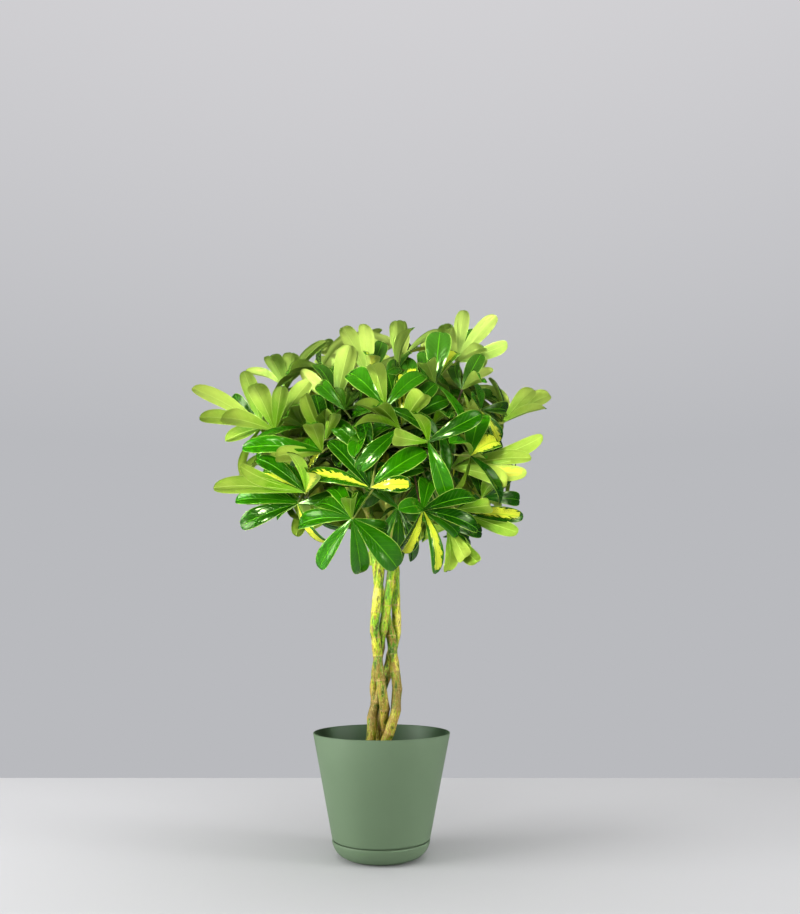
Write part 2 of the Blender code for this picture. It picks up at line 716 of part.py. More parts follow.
def turned_object(name, profile, collection):
    """A profile of radius and height, turned about +Z with the Screw tool."""
    mesh = bpy.data.meshes.new(name)
    corners = [(radius, 0.0, height) for radius, height in profile]
    on_axis = [index for index, (radius, _) in enumerate(profile) if radius == 0.0]
    edges = []
    for index in range(len(profile)):
        after = (index + 1) % len(profile)
        if not (index in on_axis and after in on_axis):
            edges.append((index, after))
    mesh.from_pydata(corners, edges, [])
    item = bpy.data.objects.new(name, mesh)
    collection.objects.link(item)
    screw = item.modifiers.new("turn", "SCREW")
    screw.steps = screw.render_steps = TURN_STEPS
    screw.use_merge_vertices = True
    screw.merge_threshold = 0.00005
    screw.use_normal_calculate = True
    apply_modifiers(item)
    turn_out(item)
    shade(item, True)
    return item


def apply_modifiers(item):
    depsgraph = bpy.context.evaluated_depsgraph_get()
    mesh = bpy.data.meshes.new_from_object(item.evaluated_get(depsgraph))
    item.modifiers.clear()
    old = item.data
    item.data = mesh
    bpy.data.meshes.remove(old)


def turn_out(item):
    cleaner = bmesh.new()
    cleaner.from_mesh(item.data)
    bmesh.ops.remove_doubles(cleaner, verts=cleaner.verts, dist=0.00002)
    bmesh.ops.recalc_face_normals(cleaner, faces=cleaner.faces)
    if cleaner.calc_volume(signed=True) < 0.0:
        bmesh.ops.reverse_faces(cleaner, faces=cleaner.faces)
    cleaner.to_mesh(item.data)
    cleaner.free()


def keep_largest_body(item):
    """Drops loose scraps and sealed hollows that a union may leave."""
    cleaner = bmesh.new()
    cleaner.from_mesh(item.data)
    left = set(cleaner.verts)
    bodies = []
    while left:
        stack = [left.pop()]
        body = set(stack)
        while stack:
            for edge in stack.pop().link_edges:
                for vert in edge.verts:
                    if vert not in body:
                        body.add(vert)
                        stack.append(vert)
        left -= body
        bodies.append(body)
    bodies.sort(key=len, reverse=True)
    for body in bodies[1:]:
        bmesh.ops.delete(cleaner, geom=list(body), context="VERTS")
    cleaner.to_mesh(item.data)
    cleaner.free()


def join_by_union(name, shapes, collection):
    """One solid from the first shape and all the others."""
    base = mesh_object(name, shapes[0], collection)
    parts = new_collection(name + " pieces")
    for index, shape in enumerate(shapes[1:]):
        mesh_object("%s piece %03d" % (name, index), shape, parts)
    union = base.modifiers.new("join", "BOOLEAN")
    union.operation = "UNION"
    union.operand_type = "COLLECTION"
    union.collection = parts
    union.solver = "MANIFOLD"
    apply_modifiers(base)
    for item in list(parts.objects):
        bpy.data.objects.remove(item, do_unlink=True)
    bpy.data.collections.remove(parts)
    keep_largest_body(base)
    return base


def curve_tube(name, path, radii, sides, collection):
    """A round bar along a path, from a bevelled curve with filled caps."""
    curve = bpy.data.curves.new(name, "CURVE")
    curve.dimensions = "3D"
    curve.bevel_depth = 1.0
    curve.bevel_resolution = (sides - 4) // 2
    curve.use_fill_caps = True
    spline = curve.splines.new("POLY")
    spline.points.add(len(path) - 1)
    for point, place, radius in zip(spline.points, path, radii):
        point.co = (*place, 1.0)
        point.radius = radius
    item = bpy.data.objects.new(name + " curve", curve)
    collection.objects.link(item)
    depsgraph = bpy.context.evaluated_depsgraph_get()
    mesh = bpy.data.meshes.new_from_object(item.evaluated_get(depsgraph))
    solid = bpy.data.objects.new(name, mesh)
    solid.matrix_world = item.matrix_world.copy()
    collection.objects.link(solid)
    bpy.data.objects.remove(item, do_unlink=True)
    turn_out(solid)
    return solid


def build_stem(name, tubes, collection):
    trunk = curve_tube(name, *tubes[0], STEM_SIDES, collection)
    branches = new_collection(name + " branches")
    for index, (path, radii) in enumerate(tubes[1:]):
        curve_tube("%s branch %d" % (name, index + 1), path, radii, BRANCH_SIDES, branches)
    union = trunk.modifiers.new("join", "BOOLEAN")
    union.operation = "UNION"
    union.operand_type = "COLLECTION"
    union.collection = branches
    union.solver = "EXACT"
    apply_modifiers(trunk)
    for item in list(branches.objects):
        bpy.data.objects.remove(item, do_unlink=True)
    bpy.data.collections.remove(branches)
    keep_largest_body(trunk)
    shade(trunk, True)
    return trunk


def build_soil(stems, collection, cutters):
    soil = turned_object("soil", SOIL_PROFILE, collection)
    for name, tubes in stems:
        place = tubes[0][0][0]
        apothem = STEM_RADII[0] + GAP
        radius = apothem / math.cos(math.pi / HOLE_SIDES)
        bottom, top = STEM_FOOT - GAP, SOIL_TOP + 0.010
        bpy.ops.mesh.primitive_cylinder_add(
            vertices=HOLE_SIDES, radius=radius, depth=top - bottom,
            location=(place.x, place.y, (top + bottom) * 0.5))
        cutter = bpy.context.object
        cutter.name = name + " hole"
        for owner in list(cutter.users_collection):
            owner.objects.unlink(cutter)
        cutters.objects.link(cutter)
        cutter.hide_render = True
        cutter.display_type = "WIRE"
        hole = soil.modifiers.new(name + " hole", "BOOLEAN")
        hole.operation = "DIFFERENCE"
        hole.object = cutter
        hole.solver = "EXACT"
    shade(soil, False)
    return soil


def shoot_shapes(shoot):
    shapes = [tube_shape(shoot.twig, [TWIG_RADII[0]] + twig_radii(shoot), 6)]
    for leaf in shoot.leaves:
        shapes.append(petiole_shape(leaf))
        for leaflet in leaf.leaflets:
            shapes.append(leaflet.shape(BLADE_THICKNESS, 0.0))
    return shapes


def build():
    clear_scene()
    plant = new_collection("potted_umbrella_tree")
    cutters = new_collection("cutters")
    materials = {
        "pot": make_material("sage_plastic", (0.155, 0.215, 0.135), 0.55),
        "saucer": make_material("sage_plastic_saucer", (0.150, 0.210, 0.130), 0.55),
        "soil": make_material("potting_soil", (0.045, 0.030, 0.020), 0.95),
    }
    saucer = turned_object("saucer", SAUCER_PROFILE, plant)
    pot = turned_object("pot", POT_PROFILE, plant)
    space = Space()
    stems, shoots = plan_stems(space)
    plan_crown(space, shoots)
    soil = build_soil(stems, plant, cutters)
    for item in (saucer, pot, soil):
        item.data.materials.clear()
        item.data.materials.append(materials[item.name])
    for name, tubes in stems:
        item = build_stem(name, tubes, plant)
        item.data.materials.clear()
        item.data.materials.append(make_material("bark_" + name, (0.260, 0.210, 0.080), 0.60))
    for shoot in shoots:
        item = join_by_union(shoot.name, shoot_shapes(shoot), plant)
        item.data.materials.clear()
        item.data.materials.append(make_material("leaf_" + shoot.name, (0.060, 0.190, 0.020), 0.35))
        shade(item, False)
    pot.parent = saucer
    for item in plant.objects:
        if item not in (saucer, pot):
            item.parent = pot


build()
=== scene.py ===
import math
import random

import bmesh
import bpy
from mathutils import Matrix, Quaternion, Vector
from mathutils.bvhtree import BVHTree
from mathutils.kdtree import KDTree


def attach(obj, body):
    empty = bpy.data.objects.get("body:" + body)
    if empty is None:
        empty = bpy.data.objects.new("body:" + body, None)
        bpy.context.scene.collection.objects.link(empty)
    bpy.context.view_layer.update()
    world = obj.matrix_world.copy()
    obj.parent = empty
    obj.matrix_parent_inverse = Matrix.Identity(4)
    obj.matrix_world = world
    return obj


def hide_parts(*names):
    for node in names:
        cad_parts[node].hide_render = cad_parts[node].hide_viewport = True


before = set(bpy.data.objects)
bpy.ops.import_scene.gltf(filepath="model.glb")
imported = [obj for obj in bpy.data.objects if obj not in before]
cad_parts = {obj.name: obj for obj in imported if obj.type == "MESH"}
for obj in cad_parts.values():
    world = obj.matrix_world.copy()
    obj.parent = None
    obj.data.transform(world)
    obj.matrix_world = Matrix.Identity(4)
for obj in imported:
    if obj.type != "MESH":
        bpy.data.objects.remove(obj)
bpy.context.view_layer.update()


# Pot and saucer. The real ones are thin injection-moulded polypropylene in one
# matt sage green; the saucer's wall clips round the pot's foot and leaves a
# dark groove under the pot's wall.

POT_SIDES = 128
POT_PROFILE = (
    (0.0885, 0.1512), (0.0894, 0.1511), (0.0899, 0.1507), (0.0899, 0.1500), (0.0832, 0.1185),
    (0.0765, 0.0870), (0.0698, 0.0553), (0.0640, 0.0278), (0.0631, 0.0236), (0.0629, 0.0230),
    (0.0624, 0.0227), (0.0588, 0.0227), (0.0587, 0.0160), (0.0556, 0.0107), (0.0512, 0.0067),
    (0.0459, 0.0040), (0.0400, 0.0031), (0.0, 0.0031), (0.0, 0.0060), (0.0400, 0.0060),
    (0.0500, 0.0092), (0.0562, 0.0172), (0.0566, 0.0240), (0.0600, 0.0290), (0.0739, 0.0893),
    (0.0869, 0.1470), (0.0876, 0.1500), (0.0878, 0.1508), (0.0881, 0.1511),
)
SAUCER_PROFILE = (
    (0.0621, 0.0215), (0.0627, 0.0212), (0.0629, 0.0206), (0.0627, 0.0190), (0.0621, 0.0165),
    (0.0611, 0.0140), (0.0597, 0.0113), (0.0579, 0.0087), (0.0556, 0.0063), (0.0530, 0.0042),
    (0.0501, 0.0026), (0.0470, 0.0013), (0.0437, 0.0004), (0.0405, 0.0), (0.0, 0.0),
    (0.0, 0.0028), (0.0400, 0.0028), (0.0460, 0.0037), (0.0515, 0.0063), (0.0559, 0.0103),
    (0.0592, 0.0155), (0.0606, 0.0205), (0.0611, 0.0213),
)


def plain_object(name, corners, faces, smooth=True):
    mesh = bpy.data.meshes.new(name)
    mesh.from_pydata([tuple(corner) for corner in corners], [], faces)
    mesh.update()
    item = bpy.data.objects.new(name, mesh)
    bpy.context.scene.collection.objects.link(item)
    for polygon in mesh.polygons:
        polygon.use_smooth = smooth
    return item


def turned_object(name, profile, sides):
    """A closed outline of radius and height turned about +Z."""
    corners, rings = [], []
    for radius, height in profile:
        ring = []
        count = sides if radius > 0.0 else 1
        for side in range(count):
            turn = 2.0 * math.pi * side / sides
            ring.append(len(corners))
            corners.append((radius * math.cos(turn), radius * math.sin(turn), height))
        rings.append(ring if count == sides else ring * sides)
    faces = []
    for first, second in zip(rings, rings[1:] + rings[:1]):
        for side in range(sides):
            after = (side + 1) % sides
            face = []
            for corner in (first[after], first[side], second[side], second[after]):
                if corner not in face:
                    face.append(corner)
            if len(face) > 2:
                faces.append(face)
    item = plain_object(name, corners, faces)
    cleaner = bmesh.new()
    cleaner.from_mesh(item.data)
    bmesh.ops.recalc_face_normals(cleaner, faces=cleaner.faces)
    if cleaner.calc_volume(signed=True) < 0.0:
        bmesh.ops.reverse_faces(cleaner, faces=cleaner.faces)
    for edge in cleaner.edges:
        edge.smooth = edge.calc_face_angle(0.0) < math.radians(50.0)
    cleaner.to_mesh(item.data)
    cleaner.free()
    return item


def linear(red, green, blue):
    """A colour given as 0-255 display values, as the linear colour a shader takes."""
    values = []
    for value in (red, green, blue):
        share = value / 255.0
        values.append(share / 12.92 if share <= 0.04045 else ((share + 0.055) / 1.055) ** 2.4)
    return (*values, 1.0)


def add_node(tree, kind, values=None, **settings):
    """A node with its settings; values go to its inputs by name or number."""
    node = tree.nodes.new(kind)
    for key, value in settings.items():
        setattr(node, key, value)
    for key, value in (values or {}).items():
        if isinstance(value, bpy.types.NodeSocket):
            tree.links.new(value, node.inputs[key])
        else:
            node.inputs[key].default_value = value
    return node


def maths(tree, operation, *values):
    node = add_node(tree, "ShaderNodeMath", dict(enumerate(values)), operation=operation)
    return node.outputs[0]


def blend_colours(tree, share, first, second, mode="MIX"):
    node = tree.nodes.new("ShaderNodeMix")
    node.data_type = "RGBA"
    node.blend_type = mode
    for socket, value in zip((node.inputs[0], node.inputs[6], node.inputs[7]), (share, first, second)):
        if isinstance(value, bpy.types.NodeSocket):
            tree.links.new(value, socket)
        else:
            socket.default_value = value
    return node.outputs[2]


def new_material(name):
    material = bpy.data.materials.new(name)
    material.use_nodes = True
    tree = material.node_tree
    return material, tree, tree.nodes["Principled BSDF"]


def add_bump(tree, shader, height, distance, strength=1.0):
    bump = add_node(tree, "ShaderNodeBump", {"Height": height, "Distance": distance, "Strength": strength})
    tree.links.new(bump.outputs[0], shader.inputs["Normal"])


def sage_plastic():
    """Matt moulded polypropylene: faint clouding, a fine grain, and painted shade on the inner walls."""
    material, tree, shader = new_material("sage_plastic")
    place = tree.nodes.new("ShaderNodeTexCoord").outputs["Object"]
    cloud = add_node(tree, "ShaderNodeTexNoise", {"Vector": place, "Scale": 14.0, "Detail": 3.0})
    grain = add_node(tree, "ShaderNodeTexNoise", {"Vector": place, "Scale": 900.0, "Detail": 2.0})
    colour = blend_colours(tree, cloud.outputs[0], linear(92, 114, 85), linear(101, 123, 94))
    # Painted shade: faces turned in towards the pot's axis, the inner walls, are darkened towards deep green.
    facing = add_node(tree, "ShaderNodeVectorMath", {
        0: add_node(tree, "ShaderNodeVectorMath", {0: place, 1: (1.0, 1.0, 0.0)}, operation="MULTIPLY").outputs[0],
        1: tree.nodes.new("ShaderNodeTexCoord").outputs["Normal"]}, operation="DOT_PRODUCT")
    inside = maths(tree, "LESS_THAN", facing.outputs["Value"], -0.01)
    colour = blend_colours(tree, maths(tree, "MULTIPLY", inside, 0.64), colour, linear(24, 64, 28))
    tree.links.new(colour, shader.inputs["Base Color"])
    rough = add_node(tree, "ShaderNodeMapRange", {"Value": cloud.outputs[0], "To Min": 0.46, "To Max": 0.58})
    tree.links.new(rough.outputs[0], shader.inputs["Roughness"])
    shader.inputs["Specular IOR Level"].default_value = 0.35
    add_bump(tree, shader, grain.outputs[0], 0.00004, 0.5)
    return material


def finish_piece(item, materials, slot, *nodes):
    """Gives a piece its materials, its body and the nodes it stands for; slot is not used."""
    item.data.materials.clear()
    for material in materials:
        item.data.materials.append(material)
    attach(item, "root")
    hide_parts(*nodes)


plastic = sage_plastic()
finish_piece(turned_object("pot_shell", POT_PROFILE, POT_SIDES), [plastic], "sage_plastic", "pot")
finish_piece(turned_object("saucer_dish", SAUCER_PROFILE, POT_SIDES), [plastic], "sage_plastic", "saucer")


# Potting mix. The real filling is a loose dark mix of peat, bark and perlite,
# poured in round the stems and watered flat; it stops below the pot's lip.

SOIL_TOP = 0.121
SOIL_RADIUS = 0.0798
CRUMB_COUNT = 1500


def soil_object():
    """A filled turned body with an uneven top."""
    profile = [(SOIL_RADIUS, SOIL_TOP - 0.003), (0.0597, 0.0281), (0.0558, 0.0241), (0.0558, 0.0174),
               (0.0498, 0.0096), (0.0400, 0.0064), (0.0, 0.0064), (0.0, SOIL_TOP + 0.002)]
    for step in range(1, 26):
        radius = SOIL_RADIUS * 0.985 * step / 25
        profile.append((radius, SOIL_TOP + 0.002 - 0.0045 * (radius / SOIL_RADIUS) ** 2))
    item = turned_object("potting_mix", profile, 96)
    draw = random.Random(5)
    lumps = [(draw.uniform(-0.08, 0.08), draw.uniform(-0.08, 0.08), draw.uniform(0.006, 0.014),
              draw.uniform(-0.0016, 0.0022)) for _ in range(70)]
    for vertex in item.data.vertices:
        place = vertex.co
        if place.z < SOIL_TOP - 0.0035 or place.xy.length > SOIL_RADIUS - 0.002:
            continue
        for across, back, size, height in lumps:
            gap = math.hypot(place.x - across, place.y - back) / size
            if gap < 1.0:
                place.z += height * (1.0 - gap * gap) ** 2
    return item


def soil_material():
    material, tree, shader = new_material("potting_mix")
    place = tree.nodes.new("ShaderNodeTexCoord").outputs["Object"]
    clump = add_node(tree, "ShaderNodeTexNoise", {"Vector": place, "Scale": 90.0, "Detail": 6.0})
    bits = add_node(tree, "ShaderNodeTexVoronoi", {"Vector": place, "Scale": 420.0})
    colour = blend_colours(tree, clump.outputs[0], linear(38, 27, 19), linear(84, 63, 44))
    colour = blend_colours(tree, maths(tree, "LESS_THAN", bits.outputs["Distance"], 0.22), colour, linear(112, 88, 62))
    tree.links.new(colour, shader.inputs["Base Color"])
    shader.inputs["Roughness"].default_value = 0.95
    add_bump(tree, shader, maths(tree, "ADD", clump.outputs[0], bits.outputs["Distance"]), 0.0012)
    return material


def new_geometry_tree(name, sockets):
    """A geometry tree with Geometry in and out and the named inputs."""
    tree = bpy.data.node_groups.new(name, "GeometryNodeTree")
    tree.interface.new_socket(name="Geometry", in_out="INPUT", socket_type="NodeSocketGeometry")
    keys = {}
    for label, kind in sockets:
        keys[label] = tree.interface.new_socket(name=label, in_out="INPUT", socket_type=kind).identifier
    tree.interface.new_socket(name="Geometry", in_out="OUTPUT", socket_type="NodeSocketGeometry")
    return tree, tree.nodes.new("NodeGroupInput"), tree.nodes.new("NodeGroupOutput"), keys


def grown_object(name, source, tree, keys, values):
    """Runs a geometry tree on an object and keeps the result as a plain mesh."""
    modifier = source.modifiers.new("grow", "NODES")
    modifier.node_group = tree
    for label, value in values.items():
        modifier[keys[label]] = value
    depsgraph = bpy.context.evaluated_depsgraph_get()
    mesh = bpy.data.meshes.new_from_object(source.evaluated_get(depsgraph), depsgraph=depsgraph)
    source.modifiers.clear()
    old = source.data
    source.data = mesh
    source.name = mesh.name = name
    bpy.data.meshes.remove(old)
    return source


def crumb_tree():
    """Small angular crumbs scattered over the faces that look up."""
    tree, given, result, keys = new_geometry_tree("crumbs", (
        ("Count", "NodeSocketFloat"), ("Smallest", "NodeSocketFloat"), ("Largest", "NodeSocketFloat"),
        ("Seed", "NodeSocketInt"), ("Dark", "NodeSocketMaterial"), ("Light", "NodeSocketMaterial")))
    scatter = add_node(tree, "GeometryNodeDistributePointsOnFaces", {
        "Mesh": given.outputs["Geometry"], "Density": given.outputs["Count"], "Seed": given.outputs["Seed"]})
    ball = add_node(tree, "GeometryNodeMeshIcoSphere", {"Radius": 1.0, "Subdivisions": 1})
    ragged = add_node(tree, "FunctionNodeRandomValue", {0: (-0.25, -0.25, -0.25), 1: (0.25, 0.25, 0.25)},
                      data_type="FLOAT_VECTOR")
    lump = add_node(tree, "GeometryNodeSetPosition", {"Geometry": ball.outputs[0], "Offset": ragged.outputs[0]})
    turn = add_node(tree, "FunctionNodeRandomValue", {1: (6.28, 6.28, 6.28), "Seed": 3}, data_type="FLOAT_VECTOR")
    size = tree.nodes.new("FunctionNodeRandomValue")
    size.data_type = "FLOAT"
    tree.links.new(given.outputs["Smallest"], size.inputs[2])
    tree.links.new(given.outputs["Largest"], size.inputs[3])
    placed = add_node(tree, "GeometryNodeInstanceOnPoints", {
        "Points": scatter.outputs["Points"], "Instance": lump.outputs[0], "Rotation": turn.outputs[0],
        "Scale": size.outputs[1]})
    light = tree.nodes.new("FunctionNodeRandomValue")
    light.data_type = "BOOLEAN"
    light.inputs["Probability"].default_value = 0.05
    kept = add_node(tree, "GeometryNodeStoreNamedAttribute", {
        "Geometry": placed.outputs[0], "Name": "perlite", "Value": light.outputs[3]},
        data_type="BOOLEAN", domain="INSTANCE")
    real = add_node(tree, "GeometryNodeRealizeInstances", {"Geometry": kept.outputs[0]})
    dark = add_node(tree, "GeometryNodeSetMaterial", {"Geometry": real.outputs[0], "Material": given.outputs["Dark"]})
    mark = add_node(tree, "GeometryNodeInputNamedAttribute", {"Name": "perlite"}, data_type="BOOLEAN")
    both = add_node(tree, "GeometryNodeSetMaterial", {
        "Geometry": dark.outputs[0], "Material": given.outputs["Light"], "Selection": mark.outputs[0]})
    tree.links.new(both.outputs[0], result.inputs[0])
    return tree, keys


def crumb_bed(soil):
    """The soil's top faces alone, for the crumbs to lie on."""
    corners, faces, known = [], [], {}
    for polygon in soil.data.polygons:
        if polygon.normal.z > 0.5 and polygon.center.z > SOIL_TOP - 0.004:
            face = []
            for index in polygon.vertices:
                if index not in known:
                    known[index] = len(corners)
                    corners.append(soil.data.vertices[index].co.copy())
                face.append(known[index])
            faces.append(face)
    return plain_object("crumb_bed", corners, faces)


def perlite_material():
    material, _, shader = new_material("perlite")
    shader.inputs["Base Color"].default_value = linear(214, 208, 196)
    shader.inputs["Roughness"].default_value = 0.9
    return material


soil = soil_object()
crumbs_tree, crumb_keys = crumb_tree()
bed = crumb_bed(soil)
bed_area = sum(polygon.area for polygon in bed.data.polygons)
earth, perlite = soil_material(), perlite_material()
crumbs = grown_object("soil_crumbs", bed, crumbs_tree, crumb_keys, {
    "Count": CRUMB_COUNT / bed_area, "Smallest": 0.0005, "Largest": 0.0019, "Seed": 11,
    "Dark": earth, "Light": perlite})
finish_piece(soil, [earth], "potting_soil", "soil")
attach(crumbs, "root")
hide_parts("soil")


# Layout of the braid and the crown, the same as the solids were laid out with.
# Four stems are braided, each forks into three branches, and each branch ends
# in a leafy shoot whose leaves are kept clear of the other shoots.

GAP = 0.0003
# The view that the front of the plant is laid out in: eye, upward pitch, focal
# length and centre in picture points.
VIEW_EYE = Vector((0.0241, -1.1000, 0.2780))
VIEW_PITCH = math.radians(12.52)
VIEW_FOCAL = 793.3
VIEW_CENTRE = (400.0, 457.0)

# Braided stems. Each row: picture height, then for each stem its picture place
# across and how near it is to the viewer, in millimetres.
STEM_RADII = (0.0067, 0.0060)
STEM_SIDES = 8
BRANCH_SIDES = 6
NODE_RING = 0.0005
STEM_SPACING = 0.0151
STEM_FOOT = 0.082
HOLE_SIDES = 16
BRAID = (
    (562, (375.5, -6), (383.0, 8), (391.0, 7), (394.5, -9)),
    (580, (375.8, -9), (380.5, 6), (390.5, 9), (395.2, -9)),
    (598, (381.0, -12), (376.8, 5), (387.0, 7), (395.5, -10)),
    (612, (385.5, -10), (375.8, 11), (386.2, 5), (396.2, -13)),
    (621, (387.5, -8.5), (375.6, 14), (384.8, 6), (396.5, -17)),
    (629, (389.6, -6), (375.6, 17), (382.8, 5.5), (396.2, -18.5)),
    (645, (391.5, -3), (376.6, 14), (380.5, -1), (394.3, -17.5)),
    (660, (393.5, 2), (377.0, 10), (378.0, -8), (391.0, -14)),
    (675, (397.3, 6), (380.0, 8), (375.5, -11), (386.5, -8)),
    (690, (399.6, 4), (381.5, 10), (374.6, -18), (380.5, -5)),
    (705, (397.0, 3), (382.3, 10), (374.8, -18), (374.8, -2)),
    (721, (392.0, 9), (384.6, -4), (376.8, -17), (372.5, 3)),
    (741, (384.3, 10), (386.0, -6), (378.6, -18), (371.5, 4)),
    (755, (380.8, 11), (388.0, -6), (379.0, -19), (370.2, 4)),
)

# Crown. Each stem forks into three branches and each branch carries one shoot.
FORK_HEIGHT = 0.440
FORK_REACH = 0.026
STEM_SECTORS = (135.0, 225.0, 315.0, 45.0)
BRANCH_TURNS = ((0.0, 60.0), (-26.0, -14.0), (25.0, 12.0))
SHOOT_CENTRE = Vector((0.0, 0.0, 0.530))
SHOOT_REACH = Vector((0.108, 0.100, 0.088))
BRANCH_RADII = (0.0050, 0.0036)
TWIG_RADII = (0.0034, 0.0018)
PETIOLE_RADII = (0.0014, 0.0010)
HUB_RADIUS = 0.0028
SHOOT_LIMIT = 6

# Leaflets: obovate, folded on the midrib and arched.
LEAFLET_LENGTH = 0.084
LEAFLET_WIDTH = 0.0225
BLADE_THICKNESS = 0.0008
BLADE_CLEAR = 0.0005
BLADE_FOLD = 0.30
FOLD_FROM = 14
ARCH_RANGE = (0.07, 0.13)
BLADE_STATIONS = ((0.42, 0.80), (0.80, 0.93))

# Compound leaves seen from the front: hub in picture points, how near it is in
# millimetres, then its leaflets as tip across, tip down, face, width seen.
# U shows the upper face and lies back, u leans forward; L shows the lower face
# and leans forward, l lies back.
FRONT_LEAVES = (
    ((262, 428), 20, ((192, 388, "L", 15), (199, 416, "L", 14), (244, 370, "L", 14),
                      (226, 440, "l", 13))),
    ((275, 431), 45, ((221, 417, "L", 17), (253, 383, "L", 18), (309, 380, "L", 15),
                      (282, 385, "L", 14))),
    ((287, 390), -10, ((246, 371, "l", 10), (270, 356, "L", 16), (281, 360, "U", 10),
                       (292, 351, "L", 15), (324, 338, "L", 9))),
    ((336, 404), 60, ((301, 370, "l", 12), (350, 344, "L", 18), (330, 366, "U", 12),
                      (315, 362, "U", 11))),
    ((368, 378), 70, ((343, 325, "L", 15), (364, 322, "L", 13), (382, 342, "U", 12),
                      (347, 336, "l", 10), (368, 352, "L", 11))),
    ((398, 368), 90, ((397, 320, "L", 14), (409, 335, "l", 12), (413, 328, "L", 10),
                      (405, 354, "U", 14), (386, 372, "u", 12))),
    ((435, 384), 110, ((440, 332, "U", 22), (425, 359, "L", 16), (458, 352, "U", 12))),
    ((457, 362), 40, ((443, 323, "L", 14), (450, 326, "L", 10), (464, 309, "L", 13),
                      (496, 315, "L", 14), (475, 329, "U", 11), (508, 344, "L", 11),
                      (485, 347, "L", 14))),
    ((462, 390), 75, ((455, 362, "U", 10), (483, 379, "L", 15), (491, 370, "l", 12),
                      (482, 356, "U", 14))),
    ((503, 423), 5, ((534, 388, "L", 14), (550, 394, "L", 15), (546, 407, "L", 12))),
    ((480, 410), 40, ((508, 412, "U", 11), (493, 435, "U", 13), (500, 444, "U", 13))),
    ((452, 468), 75, ((532, 456, "L", 14), (545, 438, "L", 10), (485, 458, "L", 11),
                      (527, 473, "L", 11), (508, 482, "L", 18))),
    ((470, 456), 120, ((480, 412, "U", 22), (500, 440, "U", 18), (452, 440, "u", 12))),
    ((482, 498), 30, ((521, 500, "U", 11), (492, 482, "L", 12), (476, 473, "U", 15))),
    ((455, 510), 50, ((524, 517, "U", 12), (519, 533, "L", 12), (492, 505, "L", 12))),
    ((448, 528), 85, ((466, 560, "L", 13), (449, 573, "L", 13), (478, 564, "L", 11),
                      (468, 544, "U", 14), (424, 538, "L", 14), (482, 532, "U", 12))),
    ((422.5, 510.5), 165, ((401, 508, "u", 15), (431, 479, "U", 18), (475, 497, "U", 18),
                           (480, 528, "U", 16), (460, 535, "U", 14), (401, 555, "U", 10),
                           (438, 574, "U", 13))),
    ((352, 519), 170, ((298, 525, "U", 17), (316, 502, "U", 15), (330, 485, "U", 14),
                       (352, 495, "u", 14), (366, 494, "U", 14), (388, 531, "U", 11),
                       (397, 568, "U", 23), (361, 574, "U", 17), (318, 569, "U", 15))),
    ((370, 488), 150, ((329, 440, "U", 15), (355, 439, "U", 16), (307, 472, "U", 15),
                       (333, 494, "U", 13), (412, 484, "U", 15), (425.5, 450, "U", 22),
                       (424, 467, "U", 15))),
    ((305.5, 492.7), 130, ((213, 487, "L", 18), (248, 479, "U", 11), (257, 456, "U", 14),
                           (274, 462, "U", 12), (289, 452, "L", 10), (307, 472, "L", 11),
                           (325, 480, "U", 12))),
    ((298, 503.5), 95, ((246, 498, "U", 20), (240, 526, "U", 16), (235, 500, "U", 14),
                        (302, 524, "U", 11))),
    ((322, 452), 125, ((242, 448, "U", 17), (274, 456, "L", 14), (311, 424, "L", 18),
                       (300, 445, "U", 13), (313, 474, "U", 12))),
    ((325, 440), 100, ((333, 411, "L", 14), (341, 415, "U", 11), (315, 393, "U", 14),
                      (305, 394, "L", 12))),
    ((385, 408), 150, ((349, 371, "U", 21), (372, 362, "L", 15), (352, 420, "U", 14))),
    ((402, 425), 130, ((404, 371, "U", 16), (413, 365, "U", 14), (424, 393, "L", 20),
                       (436, 383, "U", 14), (448, 398, "U", 16))),
    ((428, 442), 160, ((391, 435, "L", 12), (414, 414, "L", 13), (414, 452, "U", 14))),
    ((434, 424), 120, ((466, 405, "U", 12), (450, 416, "L", 14), (458, 432, "U", 13))),
    ((398, 508), 80, ((377, 556, "U", 14), (396, 568, "U", 13), (415, 562, "U", 12),
                      (383, 527, "U", 12))),
)

# The crown as seen from the front, in picture points; leaves placed by rule
# stay inside it.
CROWN_OUTLINE = (
    (343, 332), (370, 330), (398, 324), (443, 326), (464, 316), (496, 322), (504, 344),
    (488, 362), (492, 380), (512, 392), (536, 398), (512, 425), (512, 446), (526, 462),
    (512, 484), (518, 500), (508, 525), (486, 534), (476, 560), (450, 566), (436, 556),
    (398, 556), (388, 566), (362, 566), (320, 560), (312, 532), (262, 528), (244, 522),
    (244, 498), (222, 486), (262, 462), (248, 446), (258, 432), (210, 416), (202, 394),
    (240, 398), (246, 374), (270, 360), (296, 356), (322, 344),
)

# Compound leaves of the back, sides and top, placed by rule.
CROWN_CENTRE = Vector((0.0, 0.0, 0.545))
CROWN_REACH = Vector((0.185, 0.195, 0.135))
CROWN_POINTS = 60
HUB_SPACING = 0.058
LEAFLETS_EACH = 6
FILL_TO = 5
GOLDEN_TURN = math.pi * (3.0 - math.sqrt(5.0))
SEED = 27


# Small helpers

def mix(a, b, share):
    return a + (b - a) * share


def flat_point(angle, radius, height):
    return Vector((radius * math.cos(angle), radius * math.sin(angle), height))


def ball_point(turn, rise):
    """Unit direction from a compass turn and a rise above level, in degrees."""
    turn, rise = math.radians(turn), math.radians(rise)
    return Vector((math.cos(rise) * math.cos(turn), math.cos(rise) * math.sin(turn), math.sin(rise)))


def spiral_point(index, count):
    """One of count unit directions spread evenly over a ball."""
    rise = 1.0 - 2.0 * (index + 0.5) / count
    turn = index * GOLDEN_TURN
    level = math.sqrt(1.0 - rise * rise)
    return Vector((level * math.cos(turn), level * math.sin(turn), rise))


def scaled(vector, factors):
    return Vector((vector.x * factors.x, vector.y * factors.y, vector.z * factors.z))


